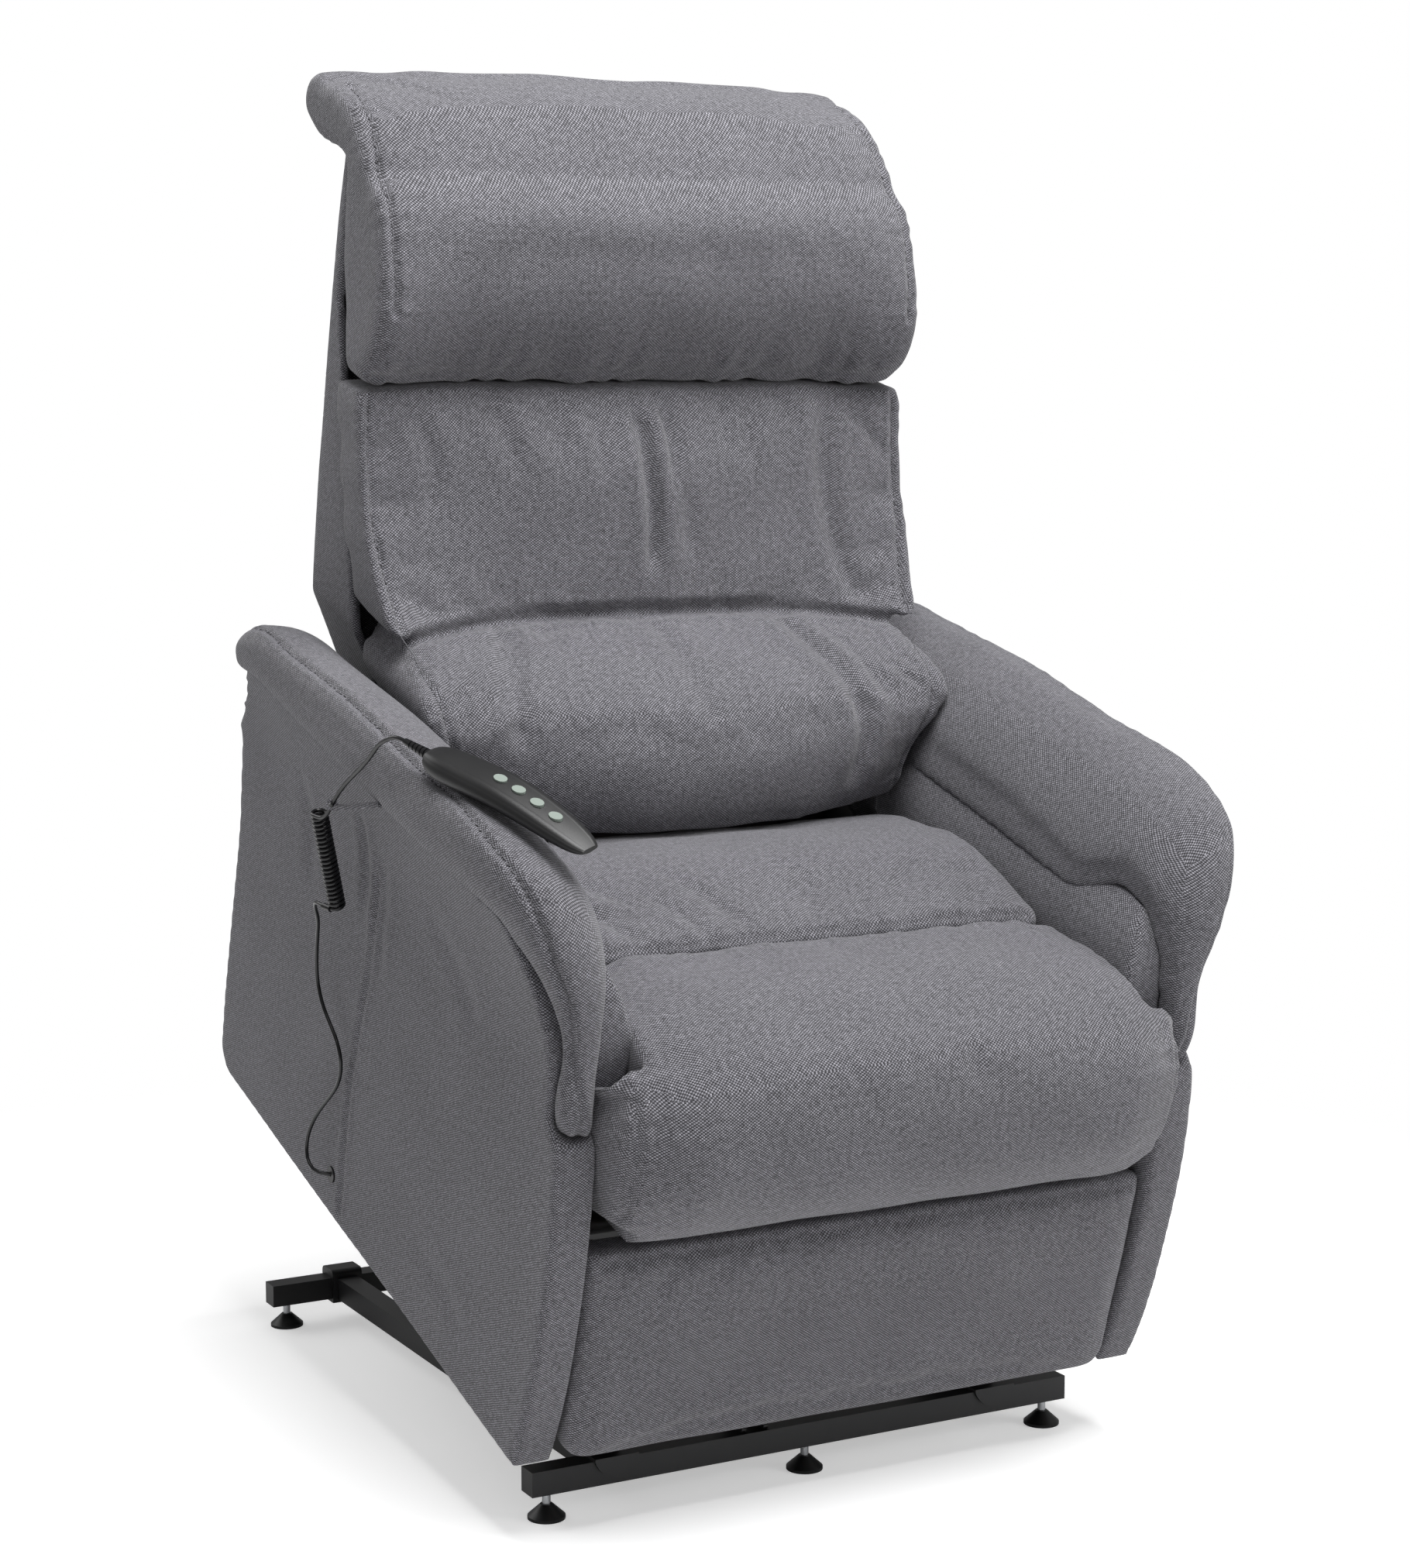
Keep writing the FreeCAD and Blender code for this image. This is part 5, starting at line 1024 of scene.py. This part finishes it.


for name, piece in softPieces.items():
    values = pieceValues.get(name) or flatValues[name]
    weaveMap(piece, values.get("lean", 1.0))
    piece.data.shade_smooth()
    giveMaterial(piece, fabric)
    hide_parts(values["node"])
    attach(piece, values["body"])
print("covers finished")


# Studio: a pale floor, one large soft light above the front, weaker ones at the right and behind, an even sky

studioValues = {
    "floorShade": "#f4f4f4",
    "floorGlow": 0.42,
    "middle": (0, 0.35, 0),
    "near": 0.75,           # distances from the middle between which the floor fades out
    "far": 1.5,
    "sky": 0.28,
    "key": {"place": (0.1, -0.9, 3.6), "aim": (0.0, 0.3, 0.5), "size": 2.2, "power": 175.0},
    "fill": {"place": (2.8, -2.2, 1.6), "aim": (0.0, 0.2, 0.6), "size": 1.4, "power": 34.0},
    "rim": {"place": (-1.6, 2.6, 2.4), "aim": (0.0, 0.5, 0.8), "size": 2.0, "power": 24.0},
}


def addLight(name, values):
    data = bpy.data.lights.new(name, "AREA")
    data.size = values["size"]
    data.energy = values["power"]
    light = bpy.data.objects.new(name, data)
    light.location = values["place"]
    towards = Vector(values["aim"]) - Vector(values["place"])
    light.rotation_euler = towards.to_track_quat("-Z", "Y").to_euler()
    scene.collection.objects.link(light)


def addFloor(values, reach=14.0):
    mesh = bpy.data.meshes.new("floor")
    mesh.from_pydata([(-reach, -reach, 0), (reach, -reach, 0), (reach, reach, 0), (-reach, reach, 0)], [],
                     [(0, 1, 2, 3)])
    floor = addPiece("floor", mesh)
    material, tree, shader = newMaterial("pale studio floor", {
        "Base Color": linear(values["floorShade"]), "Roughness": 0.85, "Specular IOR Level": 0.1,
        "Emission Color": (1, 1, 1, 1)})
    # Away from the chair the eye sees the white backdrop instead of the floor
    place = addNode(tree, "ShaderNodeTexCoord").outputs["Object"]
    away = addNode(tree, "ShaderNodeVectorMath", {"operation": "DISTANCE"}, {0: place, 1: values["middle"]})
    fade = addNode(tree, "ShaderNodeMapRange", {"interpolation_type": "SMOOTHSTEP"},
                   {0: away.outputs["Value"], 1: values["near"], 2: values["far"]}).outputs[0]
    seen = addNode(tree, "ShaderNodeLightPath").outputs["Is Camera Ray"]
    # The glow is for the eye alone, so that the floor doesn't light the chair from below
    tree.links.new(calc(tree, "MULTIPLY", seen, values["floorGlow"]), shader.inputs["Emission Strength"])
    clear = addNode(tree, "ShaderNodeBsdfTransparent")
    blend = addNode(tree, "ShaderNodeMixShader", {},
                    {0: calc(tree, "MULTIPLY", fade, seen), 1: shader.outputs[0], 2: clear.outputs[0]})
    tree.links.new(blend.outputs[0], tree.nodes["Material Output"].inputs["Surface"])
    giveMaterial(floor, material)


def addSky(values):
    # Seen directly or through something clear it is plain white; as a light it is weaker
    world = bpy.data.worlds.new("studio")
    scene.world = world
    world.use_nodes = True
    tree = world.node_tree
    tree.nodes.clear()
    path = addNode(tree, "ShaderNodeLightPath")
    seen = calc(tree, "MAXIMUM", path.outputs["Is Camera Ray"], path.outputs["Is Transmission Ray"])
    strength = addNode(tree, "ShaderNodeMapRange", {}, {0: seen, 3: values["sky"], 4: 1.0})
    sky = addNode(tree, "ShaderNodeBackground", {}, {"Color": (1, 1, 1, 1), "Strength": strength.outputs[0]})
    addNode(tree, "ShaderNodeOutputWorld", {}, {"Surface": sky.outputs[0]})


addFloor(studioValues)
addSky(studioValues)
for name in ("key", "fill", "rim"):
    addLight(name, studioValues[name])
print("studio lit")
